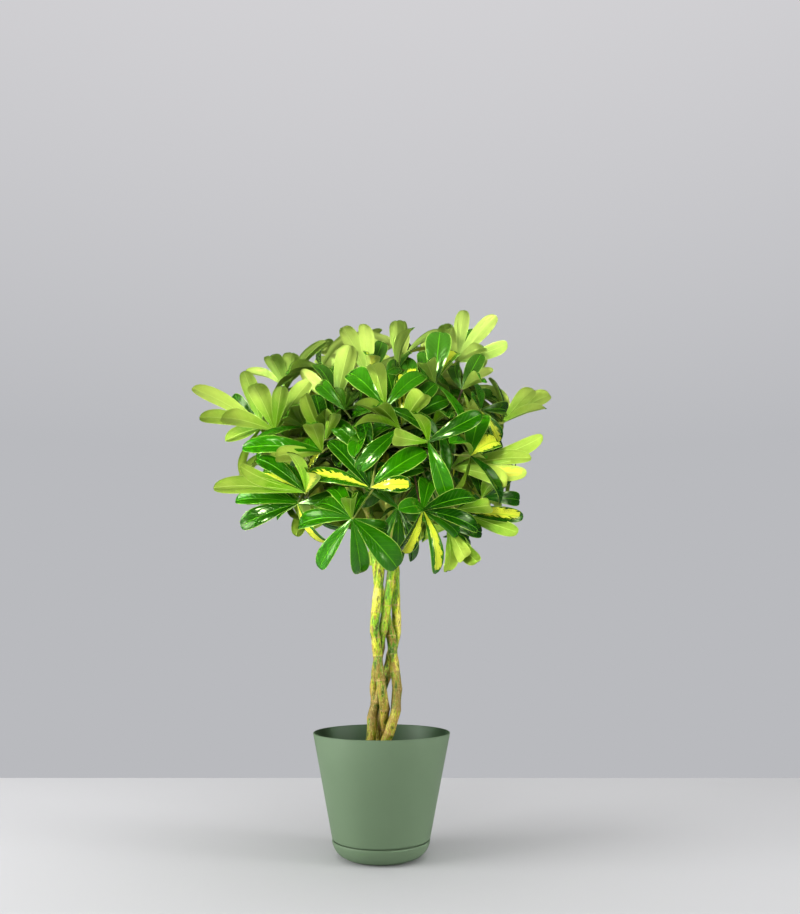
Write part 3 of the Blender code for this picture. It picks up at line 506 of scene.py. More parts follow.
def view_ray(across, down):
    """Direction from the eye through a picture point."""
    right = (across - VIEW_CENTRE[0]) / VIEW_FOCAL
    rise = (VIEW_CENTRE[1] - down) / VIEW_FOCAL
    forward = Vector((0.0, math.cos(VIEW_PITCH), math.sin(VIEW_PITCH)))
    upward = Vector((0.0, -math.sin(VIEW_PITCH), math.cos(VIEW_PITCH)))
    return (forward + Vector((right, 0.0, 0.0)) + upward * rise).normalized()


def placed_point(across, down, near_mm):
    """Point seen at a picture point, near_mm in front of the trunk's plane."""
    ray = view_ray(across, down)
    return VIEW_EYE + ray * ((-near_mm * 0.001 - VIEW_EYE.y) / ray.y)


def picture_point(point):
    """Where a point is seen in the picture."""
    ray = point - VIEW_EYE
    depth = ray.y * math.cos(VIEW_PITCH) + ray.z * math.sin(VIEW_PITCH)
    rise = -ray.y * math.sin(VIEW_PITCH) + ray.z * math.cos(VIEW_PITCH)
    return (VIEW_CENTRE[0] + VIEW_FOCAL * ray.x / depth,
            VIEW_CENTRE[1] - VIEW_FOCAL * rise / depth)


def inside_outline(point):
    across, down = picture_point(point)
    inside = False
    last = CROWN_OUTLINE[-1]
    for corner in CROWN_OUTLINE:
        if (corner[1] > down) != (last[1] > down):
            crossing = last[0] + (down - last[1]) * (corner[0] - last[0]) / (corner[1] - last[1])
            if across < crossing:
                inside = not inside
        last = corner
    return inside


def smooth_path(points, share):
    """Point at a share of the way along a Catmull-Rom curve through points."""
    place = share * (len(points) - 1)
    index = min(int(place), len(points) - 2)
    t = place - index
    p1, p2 = points[index], points[index + 1]
    p0 = points[index - 1] if index > 0 else p1 * 2.0 - p2
    p3 = points[index + 2] if index + 2 < len(points) else p2 * 2.0 - p1
    return 0.5 * (2.0 * p1 + (p2 - p0) * t + (2.0 * p0 - 5.0 * p1 + 4.0 * p2 - p3) * t * t
                  + (3.0 * p1 - 3.0 * p2 + p3 - p0) * t * t * t)


def bent_path(start, start_way, end, end_way, steps):
    """Points on a cubic curve that leaves along start_way and arrives along end_way."""
    reach = (end - start).length * 0.38
    a, b = start + start_way * reach, end - end_way * reach
    points = []
    for index in range(steps + 1):
        t = index / steps
        s = 1.0 - t
        points.append(start * s ** 3 + a * 3 * s * s * t + b * 3 * s * t * t + end * t ** 3)
    return points


# Meshes as lists of corners and faces

def tube_shape(path, radii, sides):
    """Closed tube along a path; radii holds one radius for each point."""
    corners, faces = [], []
    along = (path[1] - path[0]).normalized()
    across = along.orthogonal().normalized()
    count = len(path)
    for index, point in enumerate(path):
        before, after = path[max(index - 1, 0)], path[min(index + 1, count - 1)]
        new_along = (after - before).normalized()
        across.rotate(along.rotation_difference(new_along))
        along = new_along
        across = (across - along * across.dot(along)).normalized()
        other = along.cross(across)
        for side in range(sides):
            turn = 2.0 * math.pi * side / sides
            corners.append(point + (across * math.cos(turn) + other * math.sin(turn)) * radii[index])
    for index in range(count - 1):
        for side in range(sides):
            a, b = index * sides + side, index * sides + (side + 1) % sides
            faces.append((a, b, b + sides, a + sides))
    faces.append(tuple(reversed(range(sides))))
    faces.append(tuple(range((count - 1) * sides, count * sides)))
    return corners, faces


class Leaflet:
    """One leaflet: where it starts and ends, and how its blade lies."""

    def __init__(self, root, tip, up, width, arch, folded, patches=None):
        self.root, self.tip, self.up = root, tip, up
        self.width, self.arch, self.folded, self.patches = width, arch, folded, patches

    def frame(self):
        along = self.tip - self.root
        length = along.length
        along.normalize()
        normal = self.up - along * self.up.dot(along)
        if normal.length < 0.01:
            normal = along.orthogonal()
        normal.normalize()
        return along, normal, along.cross(normal), length

    def shape(self, thickness, spread):
        """Closed blade: a root edge, two stations across it and a tip edge.

        A folded blade has its midrib as a third line along both faces.
        """
        along, normal, side, length = self.frame()
        lines = (-1.0, 0.0, 1.0) if self.folded else (-1.0, 1.0)
        fold = BLADE_FOLD if self.folded else BLADE_FOLD * 0.5
        start = self.root - along * 0.0012
        corners = [start + normal * thickness * 0.5, start - normal * thickness * 0.5]
        for place, share in BLADE_STATIONS:
            rise = self.arch * length * 4.0 * place * (1.0 - place)
            middle = self.root + along * length * place + normal * rise
            half = self.width * 0.5 * share + spread
            for way in lines:
                corner = middle + side * way * half + normal * abs(way) * half * fold
                corners += [corner + normal * thickness * 0.5, corner - normal * thickness * 0.5]
        end = self.tip + along * spread
        corners += [end + normal * thickness * 0.5, end - normal * thickness * 0.5]
        count = len(lines)
        first = [2 + 2 * index for index in range(count)]
        second = [corner + 2 * count for corner in first]
        tip = 2 + 4 * count
        top = []
        for a, b, c, d in zip(first, first[1:], second, second[1:]):
            top += [(0, b, a), (a, b, d), (a, d, c), (c, d, tip)]
        low = [(c + 1, b + 1, a + 1) for a, b, c in top]
        rim = (0, first[0], second[0], tip, second[-1], first[-1])
        edge = []
        for index, corner in enumerate(rim):
            after = rim[(index + 1) % len(rim)]
            edge += [(corner, after, after + 1), (corner, after + 1, corner + 1)]
        return corners, top + low + edge


def signed_volume(corners, faces):
    total = 0.0
    for face in faces:
        for index in range(1, len(face) - 1):
            a, b, c = corners[face[0]], corners[face[index]], corners[face[index + 1]]
            total += a.dot(b.cross(c)) / 6.0
    return total


def facing_out(shape):
    corners, faces = shape
    if signed_volume(corners, faces) < 0.0:
        faces = [tuple(reversed(face)) for face in faces]
    return corners, faces


# Occupied space: every piece placed so far, with the node that it belongs to

class Space:
    def __init__(self):
        self.pieces = []

    def add(self, node, shape):
        corners, faces = shape
        low = Vector([min(corner[axis] for corner in corners) for axis in range(3)])
        high = Vector([max(corner[axis] for corner in corners) for axis in range(3)])
        self.pieces.append((node, low, high, BVHTree.FromPolygons(corners, faces)))

    def crossings(self, node, shape):
        """How many pieces of other nodes, and of this node, a shape crosses."""
        corners, faces = shape
        low = Vector([min(corner[axis] for corner in corners) for axis in range(3)])
        high = Vector([max(corner[axis] for corner in corners) for axis in range(3)])
        tree = None
        others = own = 0
        for piece_node, piece_low, piece_high, piece_tree in self.pieces:
            if any(piece_low[axis] > high[axis] or piece_high[axis] < low[axis] for axis in range(3)):
                continue
            if tree is None:
                tree = BVHTree.FromPolygons(corners, faces)
            if tree.overlap(piece_tree):
                if piece_node == node:
                    own += 1
                else:
                    others += 1
        return others, own


# Layout of the braided stems

def braid_paths():
    """Centre line of each braided stem from the soil up, kept apart by pushing."""
    rows = []
    for row in reversed(BRAID):
        rows.append([placed_point(across, row[0], near) for across, near in row[1:]])
    steps = 2 * (len(rows) - 1)
    grid = []
    for step in range(steps + 1):
        grid.append([smooth_path([row[stem] for row in rows], step / steps) for stem in range(4)])
    for turn in range(80):
        for points in grid:
            for a in range(4):
                for b in range(a + 1, 4):
                    apart = points[a] - points[b]
                    apart.z = 0.0
                    short = STEM_SPACING - apart.length
                    if short > 0.0:
                        push = apart.normalized() * short * 0.5
                        points[a] = points[a] + push
                        points[b] = points[b] - push
        if turn < 60:
            for index in range(1, steps):
                for stem in range(4):
                    middle = (grid[index - 1][stem] + grid[index + 1][stem]) * 0.5
                    grid[index][stem] = mix(grid[index][stem], middle, 0.12)
    return [[points[stem] for points in grid] for stem in range(4)]


def ring_radius(index, base):
    """Node rings: every third station stands out a little."""
    return base + (NODE_RING if index % 3 == 1 else 0.0)


class Shoot:
    def __init__(self, name, twig):
        self.name, self.twig, self.leaves = name, twig, []

    def join(self, share):
        return smooth_path(self.twig, share)


class Leaf:
    """One compound leaf: hub, the way it faces and its leaflets."""

    def __init__(self, hub, axis):
        self.hub, self.axis, self.leaflets, self.petiole = hub, axis, [], None


def plan_stems(space):
    """Stems with their branches, and the bare twig of each shoot."""
    stems, shoots = [], []
    for stem, braid in enumerate(braid_paths()):
        foot = [Vector((braid[0].x, braid[0].y, STEM_FOOT)),
                Vector((braid[0].x, braid[0].y, SOIL_TOP + 0.004))]
        braid = braid[1:]
        sector = STEM_SECTORS[stem]
        fork = flat_point(math.radians(sector), FORK_REACH, FORK_HEIGHT)
        way = (braid[-1] - braid[-3]).normalized()
        lift = (fork - braid[-1]).normalized()
        neck = bent_path(braid[-1], way, fork, (lift + Vector((0, 0, 1))).normalized(), 4)
        trunk = foot + braid + neck[1:]
        count = len(braid)
        radii = [STEM_RADII[0], STEM_RADII[0]]
        radii += [ring_radius(index, mix(*STEM_RADII, index / count)) for index in range(1, count + 1)]
        radii += [mix(STEM_RADII[1], BRANCH_RADII[0], (index + 1) / 4) for index in range(4)]
        tubes = []
        for number, (turn, rise) in enumerate(BRANCH_TURNS):
            end = SHOOT_CENTRE + scaled(ball_point(sector + turn, rise), SHOOT_REACH)
            out = (end - fork).normalized()
            up = (out + Vector((0, 0, 0.9))).normalized()
            whole = bent_path(fork - up * 0.012, up, end, out, 10)
            branch, twig = whole[:6], whole[6:]
            gap_way = (twig[0] - branch[-1]).normalized()
            twig = [branch[-1] + gap_way * GAP] + twig
            steps = len(branch) - 1
            sizes = [mix(*BRANCH_RADII, index / steps) for index in range(steps + 1)]
            if number == 0:
                tubes.append((trunk[:-1] + branch[1:], radii[:-1] + sizes[1:]))
            else:
                tubes.append((branch, sizes))
            shoots.append(Shoot("shoot_%02d" % (3 * stem + number + 1), twig))
        name = "stem_%d" % (stem + 1)
        for path, sizes in tubes:
            space.add(name, tube_shape(path, [size + 0.0004 for size in sizes], 6))
        stems.append((name, tubes))
    for shoot in shoots:
        space.add(shoot.name, tube_shape(shoot.twig[1:], twig_radii(shoot), 5))
    return stems, shoots


def twig_radii(shoot):
    steps = len(shoot.twig) - 2
    return [mix(*TWIG_RADII, index / steps) for index in range(steps + 1)]


# Layout of the compound leaves

def petiole_path(shoot, share, hub, arrive, sway):
    start = shoot.join(share)
    twig_way = (shoot.join(min(share + 0.05, 1.0)) - shoot.join(share - 0.05)).normalized()
    out = (hub - start).normalized()
    leave = (twig_way * 0.6 + out).normalized()
    path = bent_path(start, leave, hub, (arrive + out * 1.2).normalized(), 4)
    side = out.orthogonal().normalized()
    side.rotate(Quaternion(out, sway[0]))
    for index, lift in ((1, 0.75), (2, 1.0), (3, 0.75)):
        path[index] = path[index] + side * sway[1] * lift
    return path


def petiole_shape(leaf):
    """Leaf stalk, swollen at its end where the leaflets join it."""
    radii = [mix(*PETIOLE_RADII, index / 3) for index in range(4)] + [HUB_RADIUS, HUB_RADIUS]
    end = leaf.axis * HUB_RADIUS * 0.7
    return tube_shape(leaf.petiole[:-1] + [leaf.hub - end, leaf.hub + end], radii, 3)


def seat_leaf(space, shoots, leaf, limit=SHOOT_LIMIT):
    """Joins a leaf to the nearest shoot that its petiole reaches without crossing."""
    ranked = []
    for shoot in shoots:
        if len(shoot.leaves) < limit:
            ranked.append(((leaf.hub - shoot.join(0.8)).length, shoot.name, shoot))
    ranked.sort(key=lambda entry: entry[:2])
    for _, _, shoot in ranked[:4]:
        for sway_size in (0.0, 0.006, 0.012, 0.020):
            for turn in range(1 if sway_size == 0.0 else 6):
                for share in (0.95, 0.75, 0.55):
                    sway = (turn * math.pi / 3.0, sway_size)
                    path = petiole_path(shoot, share, leaf.hub, leaf.axis, sway)
                    shape = tube_shape(path[:-1] + [leaf.hub], [0.0019] * 5, 4)
                    if space.crossings(shoot.name, shape)[0] == 0:
                        leaf.petiole = path
                        space.add(shoot.name, petiole_shape(leaf))
                        shoot.leaves.append(leaf)
                        return shoot
    return None


def front_leaflet(hub, entry, draw):
    """Leaflet whose tip is seen at its picture point, at a natural length."""
    across, down, face, seen = entry
    length = LEAFLET_LENGTH * draw.uniform(0.90, 1.04)
    ray = view_ray(across, down)
    closest = (hub - VIEW_EYE).dot(ray)
    off = (VIEW_EYE + ray * closest - hub).length
    length = max(length, off * 1.02)
    reach = math.sqrt(length * length - off * off)
    forward = face in "Lu"
    tip = VIEW_EYE + ray * (closest + (-reach if forward else reach) * 0.8)
    up = (-ray if face in "Uu" else ray) + Vector((0.0, 0.0, 0.45))
    per_point = (tip - VIEW_EYE).length / VIEW_FOCAL
    seen_width = seen * per_point * 1.08
    width = max(seen_width, LEAFLET_WIDTH * 0.86)
    along = (tip - hub).normalized()
    roll = math.acos(min(seen_width / width, 1.0)) * (1.0 if draw.random() < 0.5 else -1.0)
    up.rotate(Quaternion(along, roll * 0.9))
    return Leaflet(hub, tip, up, width, draw.uniform(*ARCH_RANGE), seen >= FOLD_FROM)


def try_leaflet(space, shoot, leaflet, draw, keep_view, own_limit):
    """Bends a leaflet clear of the other nodes; returns whether it could be placed."""
    hub, tip, up = leaflet.root.copy(), leaflet.tip.copy(), leaflet.up.copy()
    best = None
    for attempt in range(26):
        if attempt:
            strength = 0.004 + 0.0022 * attempt
            if keep_view:
                ray = (tip - VIEW_EYE).normalized()
                slide = ray * draw.uniform(-1.6, 1.6) * strength
                jitter = Vector([draw.uniform(-0.16, 0.16) for _ in range(3)]) * strength
                leaflet.tip = tip + slide + jitter
            else:
                leaflet.tip = tip + Vector([draw.uniform(-0.8, 0.8) for _ in range(3)]) * strength
                leaflet.tip = hub + (leaflet.tip - hub).normalized() * (tip - hub).length
            leaflet.up = up.copy()
            along = (leaflet.tip - hub).normalized()
            leaflet.up.rotate(Quaternion(along, draw.uniform(-0.03, 0.03) * attempt))
        shape = leaflet.shape(BLADE_THICKNESS + 2.0 * BLADE_CLEAR, BLADE_CLEAR)
        others, own = space.crossings(shoot.name, shape)
        if others == 0 and (best is None or own < best[0]):
            best = (own, leaflet.tip.copy(), leaflet.up.copy())
            if own <= own_limit:
                break
    if best is None:
        return False
    leaflet.tip, leaflet.up = best[1], best[2]
    space.add(shoot.name, leaflet.shape(BLADE_THICKNESS, 0.0))
    return True


def outward(point):
    way = point - Vector((0.0, 0.0, CROWN_CENTRE.z - 0.03))
    return way.normalized()


def rule_leaflets(leaf, count, draw):
    """Leaflets spread like the ribs of an umbrella round the leaf's axis."""
    first = leaf.axis.orthogonal().normalized()
    second = leaf.axis.cross(first)
    height = (leaf.hub.z - CROWN_CENTRE.z) / CROWN_REACH.z
    droop = math.radians(8.0 - 30.0 * max(min(height, 1.0), -1.0)) + draw.uniform(-0.12, 0.12)
    start = draw.uniform(0.0, 2.0 * math.pi)
    made = []
    for index in range(count):
        turn = start + 2.0 * math.pi * index / count + draw.uniform(-0.15, 0.15)
        spoke = first * math.cos(turn) + second * math.sin(turn)
        dip = droop + draw.uniform(-0.22, 0.22)
        way = (spoke * math.cos(dip) - leaf.axis * math.sin(dip)).normalized()
        length = LEAFLET_LENGTH * draw.uniform(0.80, 1.04)
        up = leaf.axis * math.cos(dip) + spoke * math.sin(dip)
        up.rotate(Quaternion(way, draw.uniform(-0.45, 0.45)))
        width = LEAFLET_WIDTH * draw.uniform(0.86, 1.10)
        made.append(Leaflet(leaf.hub, leaf.hub + way * length, up, width,
                            draw.uniform(*ARCH_RANGE), False))
    return made


def fill_leaf(leaf, count, draw):
    """Leaflets on the hidden side of a front leaf, in its widest gaps."""
    made = []
    ways = [(leaflet.tip - leaf.hub).normalized() for leaflet in leaf.leaflets]
    while len(ways) < count:
        best = None
        for index in range(60):
            way = spiral_point(index, 60)
            if way.y < 0.05 or abs(way.dot(leaf.axis)) > 0.85:
                continue
            tip = leaf.hub + way * LEAFLET_LENGTH * 0.9
            if not inside_outline(tip):
                continue
            near = max(way.dot(other) for other in ways)
            if best is None or near < best[0]:
                best = (near, way, tip)
        if best is None or best[0] > 0.90:
            break
        ways.append(best[1])
        up = leaf.axis + Vector((0.0, 0.0, 0.5))
        up.rotate(Quaternion(best[1], draw.uniform(-0.4, 0.4)))
        made.append(Leaflet(leaf.hub, best[2], up, LEAFLET_WIDTH * draw.uniform(0.86, 1.05),
                            draw.uniform(*ARCH_RANGE), False))
    return made


def plan_crown(space, shoots):
    draw = random.Random(SEED)
    planned = []
    for hub_place, near, entries in FRONT_LEAVES:
        hub = placed_point(hub_place[0], hub_place[1], near)
        leaf = Leaf(hub, outward(hub))
        shoot = seat_leaf(space, shoots, leaf)
        if shoot is not None:
            planned.append((leaf, shoot, entries))
    for leaf, shoot, entries in planned:
        for entry in entries:
            leaflet = front_leaflet(leaf.hub, entry, draw)
            if try_leaflet(space, shoot, leaflet, draw, True, 1):
                leaf.leaflets.append(leaflet)
    hubs = [leaf.hub for leaf, _, _ in planned]
    added = []
    for index in range(CROWN_POINTS):
        way = spiral_point(index, CROWN_POINTS)
        hub = CROWN_CENTRE + scaled(way, CROWN_REACH) * draw.uniform(0.86, 1.0)
        if way.z < -0.80 or way.y < -0.10 or not inside_outline(hub):
            continue
        if min((hub - other).length for other in hubs) < HUB_SPACING:
            continue
        leaf = Leaf(hub, outward(hub))
        shoot = seat_leaf(space, shoots, leaf)
        if shoot is not None:
            hubs.append(hub)
            added.append((leaf, shoot))
    for leaf, shoot, _ in planned:
        for leaflet in fill_leaf(leaf, FILL_TO, draw):
            if try_leaflet(space, shoot, leaflet, draw, False, 0):
                leaf.leaflets.append(leaflet)
    for leaf, shoot in added:
        for leaflet in rule_leaflets(leaf, LEAFLETS_EACH, draw):
            if not inside_outline(leaflet.tip):
                leaflet.tip = leaf.hub + (leaflet.tip - leaf.hub) * 0.82
                if not inside_outline(leaflet.tip):
                    continue
            if try_leaflet(space, shoot, leaflet, draw, False, 0):
                leaf.leaflets.append(leaflet)


# Leaves deeper in the crown, and the leaflets that the solids leave out
# because they hold fewer of them.

INNER_POINTS = 320
INNER_REACH = (0.30, 0.88)
INNER_FRONT = 0.86
INNER_CUP = 0.45
INNER_SPACING = 0.027
INNER_LIMIT = 24
INNER_LEAFLETS = 7
FULL_LEAF = 8
PATCHED_TIPS = (
    (368, 352), (458, 352), (527, 473), (500, 440), (524, 517), (401, 555),
    (438, 574), (307, 472), (333, 494), (412, 484), (248, 479), (404, 371), (413, 365),
)


# Further front leaves, in the same picture points as the front ones above.
EXTRA_LEAVES = (
    ((400, 429), 150, ((375, 404, "L", 16), (356, 403, "L", 13), (353, 422, "L", 11))),
    ((306, 428), 60, ((286, 415, "L", 13), (299, 404, "L", 11), (306, 396, "L", 11))),
    ((338, 432), 90, ((318, 396, "U", 14), (336, 411, "L", 12), (343, 421, "U", 10),
                      (322, 414, "L", 12))),
    ((345, 410), 100, ((330, 388, "U", 11), (318, 382, "U", 12), (352, 390, "U", 12))),
    ((372, 487), 158, ((413, 484, "U", 14),)),
    ((392, 416), 120, ((384, 372, "U", 12), (396, 380, "U", 11))),
    ((300, 490), 128, ((240, 466, "L", 10), (262, 470, "U", 11))),
)


def add_front(space, shoots):
    draw = random.Random(SEED + 2)
    for hub_place, near, entries in EXTRA_LEAVES:
        hub = placed_point(hub_place[0], hub_place[1], near)
        leaf = Leaf(hub, outward(hub))
        shoot = seat_leaf(space, shoots, leaf, INNER_LIMIT)
        if shoot is None:
            continue
        for entry in entries:
            leaflet = front_leaflet(leaf.hub, entry, draw)
            if try_leaflet(space, shoot, leaflet, draw, True, 3):
                leaf.leaflets.append(leaflet)


def seen_line(leaflet):
    """Where a leaflet is seen: its ends in the picture, how far each is, its half width."""
    near, far = (leaflet.root - VIEW_EYE).length, (leaflet.tip - VIEW_EYE).length
    half = 0.45 * leaflet.width * VIEW_FOCAL / far
    return (*picture_point(leaflet.root), *picture_point(leaflet.tip), near, far, half)


def hides_front(leaflet, lines):
    """Whether a leaflet would be seen in front of one of the lines."""
    for share in (0.35, 0.6, 0.85, 1.0):
        point = mix(leaflet.root, leaflet.tip, share)
        across, down = picture_point(point)
        depth = (point - VIEW_EYE).length
        for x, y, to_x, to_y, near, far, half in lines:
            run_x, run_y = to_x - x, to_y - y
            place = ((across - x) * run_x + (down - y) * run_y) / (run_x * run_x + run_y * run_y + 0.001)
            place = max(min(place, 1.0), 0.1)
            gap = math.hypot(across - x - run_x * place, down - y - run_y * place)
            if gap < half + 3.0 and depth < mix(near, far, place):
                return True
    return False


def within(point, least, most):
    return all(least[axis] <= point[axis] <= most[axis] for axis in range(3))


def cup_leaflet(leaf, leaflet, lift):
    """Raises a leaflet towards the light, so that its lower face turns outwards."""
    way = leaflet.tip - leaf.hub
    rise = Vector((0.0, 0.0, 1.0)) + leaf.axis * 0.4
    new_way = (way.normalized() + rise.normalized() * lift).normalized()
    turn = way.rotation_difference(new_way)
    leaflet.tip = leaf.hub + new_way * way.length
    leaflet.up.rotate(turn)


def thicken_crown(space, shoots):
    draw = random.Random(SEED + 1)
    seated = [(leaf, shoot) for shoot in shoots for leaf in shoot.leaves]
    hubs = [leaf.hub for leaf, _ in seated]
    lines = [seen_line(leaflet) for leaf, _ in seated if leaf.hub.y < 0.02 for leaflet in leaf.leaflets]
    tips = [leaflet.tip for leaf, _ in seated for leaflet in leaf.leaflets]
    least = [min(tip[axis] for tip in tips) for axis in range(3)]
    most = [max(tip[axis] for tip in tips) for axis in range(3)]
    added = []
    for index in range(INNER_POINTS):
        way = spiral_point(index, INNER_POINTS)
        reach = draw.uniform(*INNER_REACH) * (INNER_FRONT if way.y < 0.0 else 1.0)
        hub = CROWN_CENTRE + scaled(way, CROWN_REACH) * reach
        if way.z < -0.75 or min((hub - other).length for other in hubs) < INNER_SPACING:
            continue
        leaf = Leaf(hub, (outward(hub) + Vector((0.0, 0.0, 0.6))).normalized())
        shoot = seat_leaf(space, shoots, leaf, INNER_LIMIT)
        if shoot is not None:
            hubs.append(hub)
            added.append((leaf, shoot))
    for leaf, shoot in seated:
        for leaflet in fill_leaf(leaf, FULL_LEAF, draw):
            if hides_front(leaflet, lines) or not within(leaflet.tip, least, most):
                continue
            if try_leaflet(space, shoot, leaflet, draw, False, 1):
                leaf.leaflets.append(leaflet)
    for leaf, shoot in added:
        for leaflet in rule_leaflets(leaf, INNER_LEAFLETS, draw):
            cup_leaflet(leaf, leaflet, draw.uniform(0.4, 1.0) * INNER_CUP)
            if not inside_outline(leaflet.tip) or not within(leaflet.tip, least, most):
                continue
            if hides_front(leaflet, lines):
                continue
            if try_leaflet(space, shoot, leaflet, draw, False, 1):
                leaf.leaflets.append(leaflet)


def mark_patched(shoots):
    """Front leaflets that are splashed with yellow, found by where their tips are seen."""
    for shoot in shoots:
        for leaf in shoot.leaves:
            for leaflet in leaf.leaflets:
                if leaflet.tip.y > 0.05:
                    continue
                across, down = picture_point(leaflet.tip)
                near = min(math.hypot(across - x, down - y) for x, y in PATCHED_TIPS)
                leaflet.patches = 1.0 if near < 7.0 else 0.0


def plain_radii(radii):
    """The same radii without the solids' coarse node rings."""
    plain = [radii[0]]
    for before, radius, after in zip(radii, radii[1:], radii[2:]):
        plain.append(min(radius, (before + after) * 0.5))
    return plain + [radii[-1]]


# Braided stems, the visible ones. Four living stems trained round each other:
# mottled green and tan bark, with a raised pinkish ring at each old leaf node
# where the stem also kinks a little.

FINE_STEPS = 12
RING_SPACING = (0.020, 0.046)
RING_HEIGHT = 0.0007
RING_LENGTH = 0.0011
STEM_SWELL = 0.00015


def fine_path(path, radii, each):
    """The same curve with more points between the given ones."""
    points, sizes = [], []
    last = len(path) - 1
    for step in range(last * each + 1):
        share = step / (last * each)
        points.append(smooth_path(path, share))
        index = min(int(share * last), last - 1)
        sizes.append(mix(radii[index], radii[index + 1], share * last - index))
    return points, sizes


def ringed_path(path, radii, draw):
    """Bark radii with node rings, how much of a ring each point is, and its internode's tone."""
    points, sizes = fine_path(path, radii, FINE_STEPS)
    travelled = [0.0]
    for before, after in zip(points, points[1:]):
        travelled.append(travelled[-1] + (after - before).length)
    rings = []
    place = draw.uniform(0.004, 0.016)
    while place < travelled[-1]:
        rings.append((place, draw.uniform(0.3, 1.0), draw.uniform(0.0, 2.0 * math.pi), draw.random()))
        place += draw.uniform(*RING_SPACING)
    marks, kinked, tones = [], [], []
    for point, size, distance in zip(points, sizes, travelled):
        mark = 0.0
        shift = Vector((0.0, 0.0, 0.0))
        tones.append(([0.5] + [tone for ring, _, _, tone in rings if ring < distance])[-1])
        for ring, height, turn, _ in rings:
            near = math.exp(-((distance - ring) / RING_LENGTH) ** 2)
            mark = max(mark, near * height)
            wide = math.exp(-((distance - ring) / 0.006) ** 2)
            shift += Vector((math.cos(turn), math.sin(turn), 0.0)) * wide * size * 0.16
        marks.append(mark)
        kinked.append(point + shift)
    sizes = [size + mark * RING_HEIGHT * size / STEM_RADII[0] + STEM_SWELL * math.sin(distance * 260.0)
             for size, mark, distance in zip(sizes, marks, travelled)]
    return kinked, sizes, marks, tones


def put_attribute(mesh, name, values):
    """A number or a vector for each point of a mesh."""
    if isinstance(values[0], Vector):
        attribute = mesh.attributes.new(name, "FLOAT_VECTOR", "POINT")
        attribute.data.foreach_set("vector", [part for value in values for part in value])
    else:
        attribute = mesh.attributes.new(name, "FLOAT", "POINT")
        attribute.data.foreach_set("value", values)


def lines_object(name, lines):
    """Paths as loose edges; each line holds its points, radii, marks and tones."""
    corners, edges, radii, marks, tones = [], [], [], [], []
    for points, sizes, line_marks, line_tones in lines:
        first = len(corners)
        corners += [tuple(point) for point in points]
        edges += [(first + index, first + index + 1) for index in range(len(points) - 1)]
        radii += sizes
        marks += line_marks
        tones += line_tones
    mesh = bpy.data.meshes.new(name)
    mesh.from_pydata(corners, edges, [])
    put_attribute(mesh, "width", radii)
    put_attribute(mesh, "mark", marks)
    put_attribute(mesh, "tone", tones)
    item = bpy.data.objects.new(name, mesh)
    bpy.context.scene.collection.objects.link(item)
    return item


def bar_tree():
    """Round bars along paths, with the radius that each point holds."""
    tree, given, result, keys = new_geometry_tree("bars_along_paths", (
        ("Sides", "NodeSocketInt"), ("Surface", "NodeSocketMaterial")))
    width = add_node(tree, "GeometryNodeInputNamedAttribute", {"Name": "width"}, data_type="FLOAT")
    path = add_node(tree, "GeometryNodeMeshToCurve", {"Mesh": given.outputs["Geometry"]})
    sized = add_node(tree, "GeometryNodeSetCurveRadius", {"Curve": path.outputs[0], "Radius": width.outputs[0]})
    ring = add_node(tree, "GeometryNodeCurvePrimitiveCircle", {"Resolution": given.outputs["Sides"], "Radius": 1.0})
    bar = add_node(tree, "GeometryNodeCurveToMesh", {
        "Curve": sized.outputs[0], "Profile Curve": ring.outputs[0], "Fill Caps": True})
    if "Scale" in bar.inputs:
        tree.links.new(width.outputs[0], bar.inputs["Scale"])
    real = add_node(tree, "GeometryNodeRealizeInstances", {"Geometry": bar.outputs[0]})
    smooth = add_node(tree, "GeometryNodeSetShadeSmooth", {"Geometry": real.outputs[0]})
    done = add_node(tree, "GeometryNodeSetMaterial", {
        "Geometry": smooth.outputs[0], "Material": given.outputs["Surface"]})
    tree.links.new(done.outputs[0], result.inputs[0])
    return tree, keys


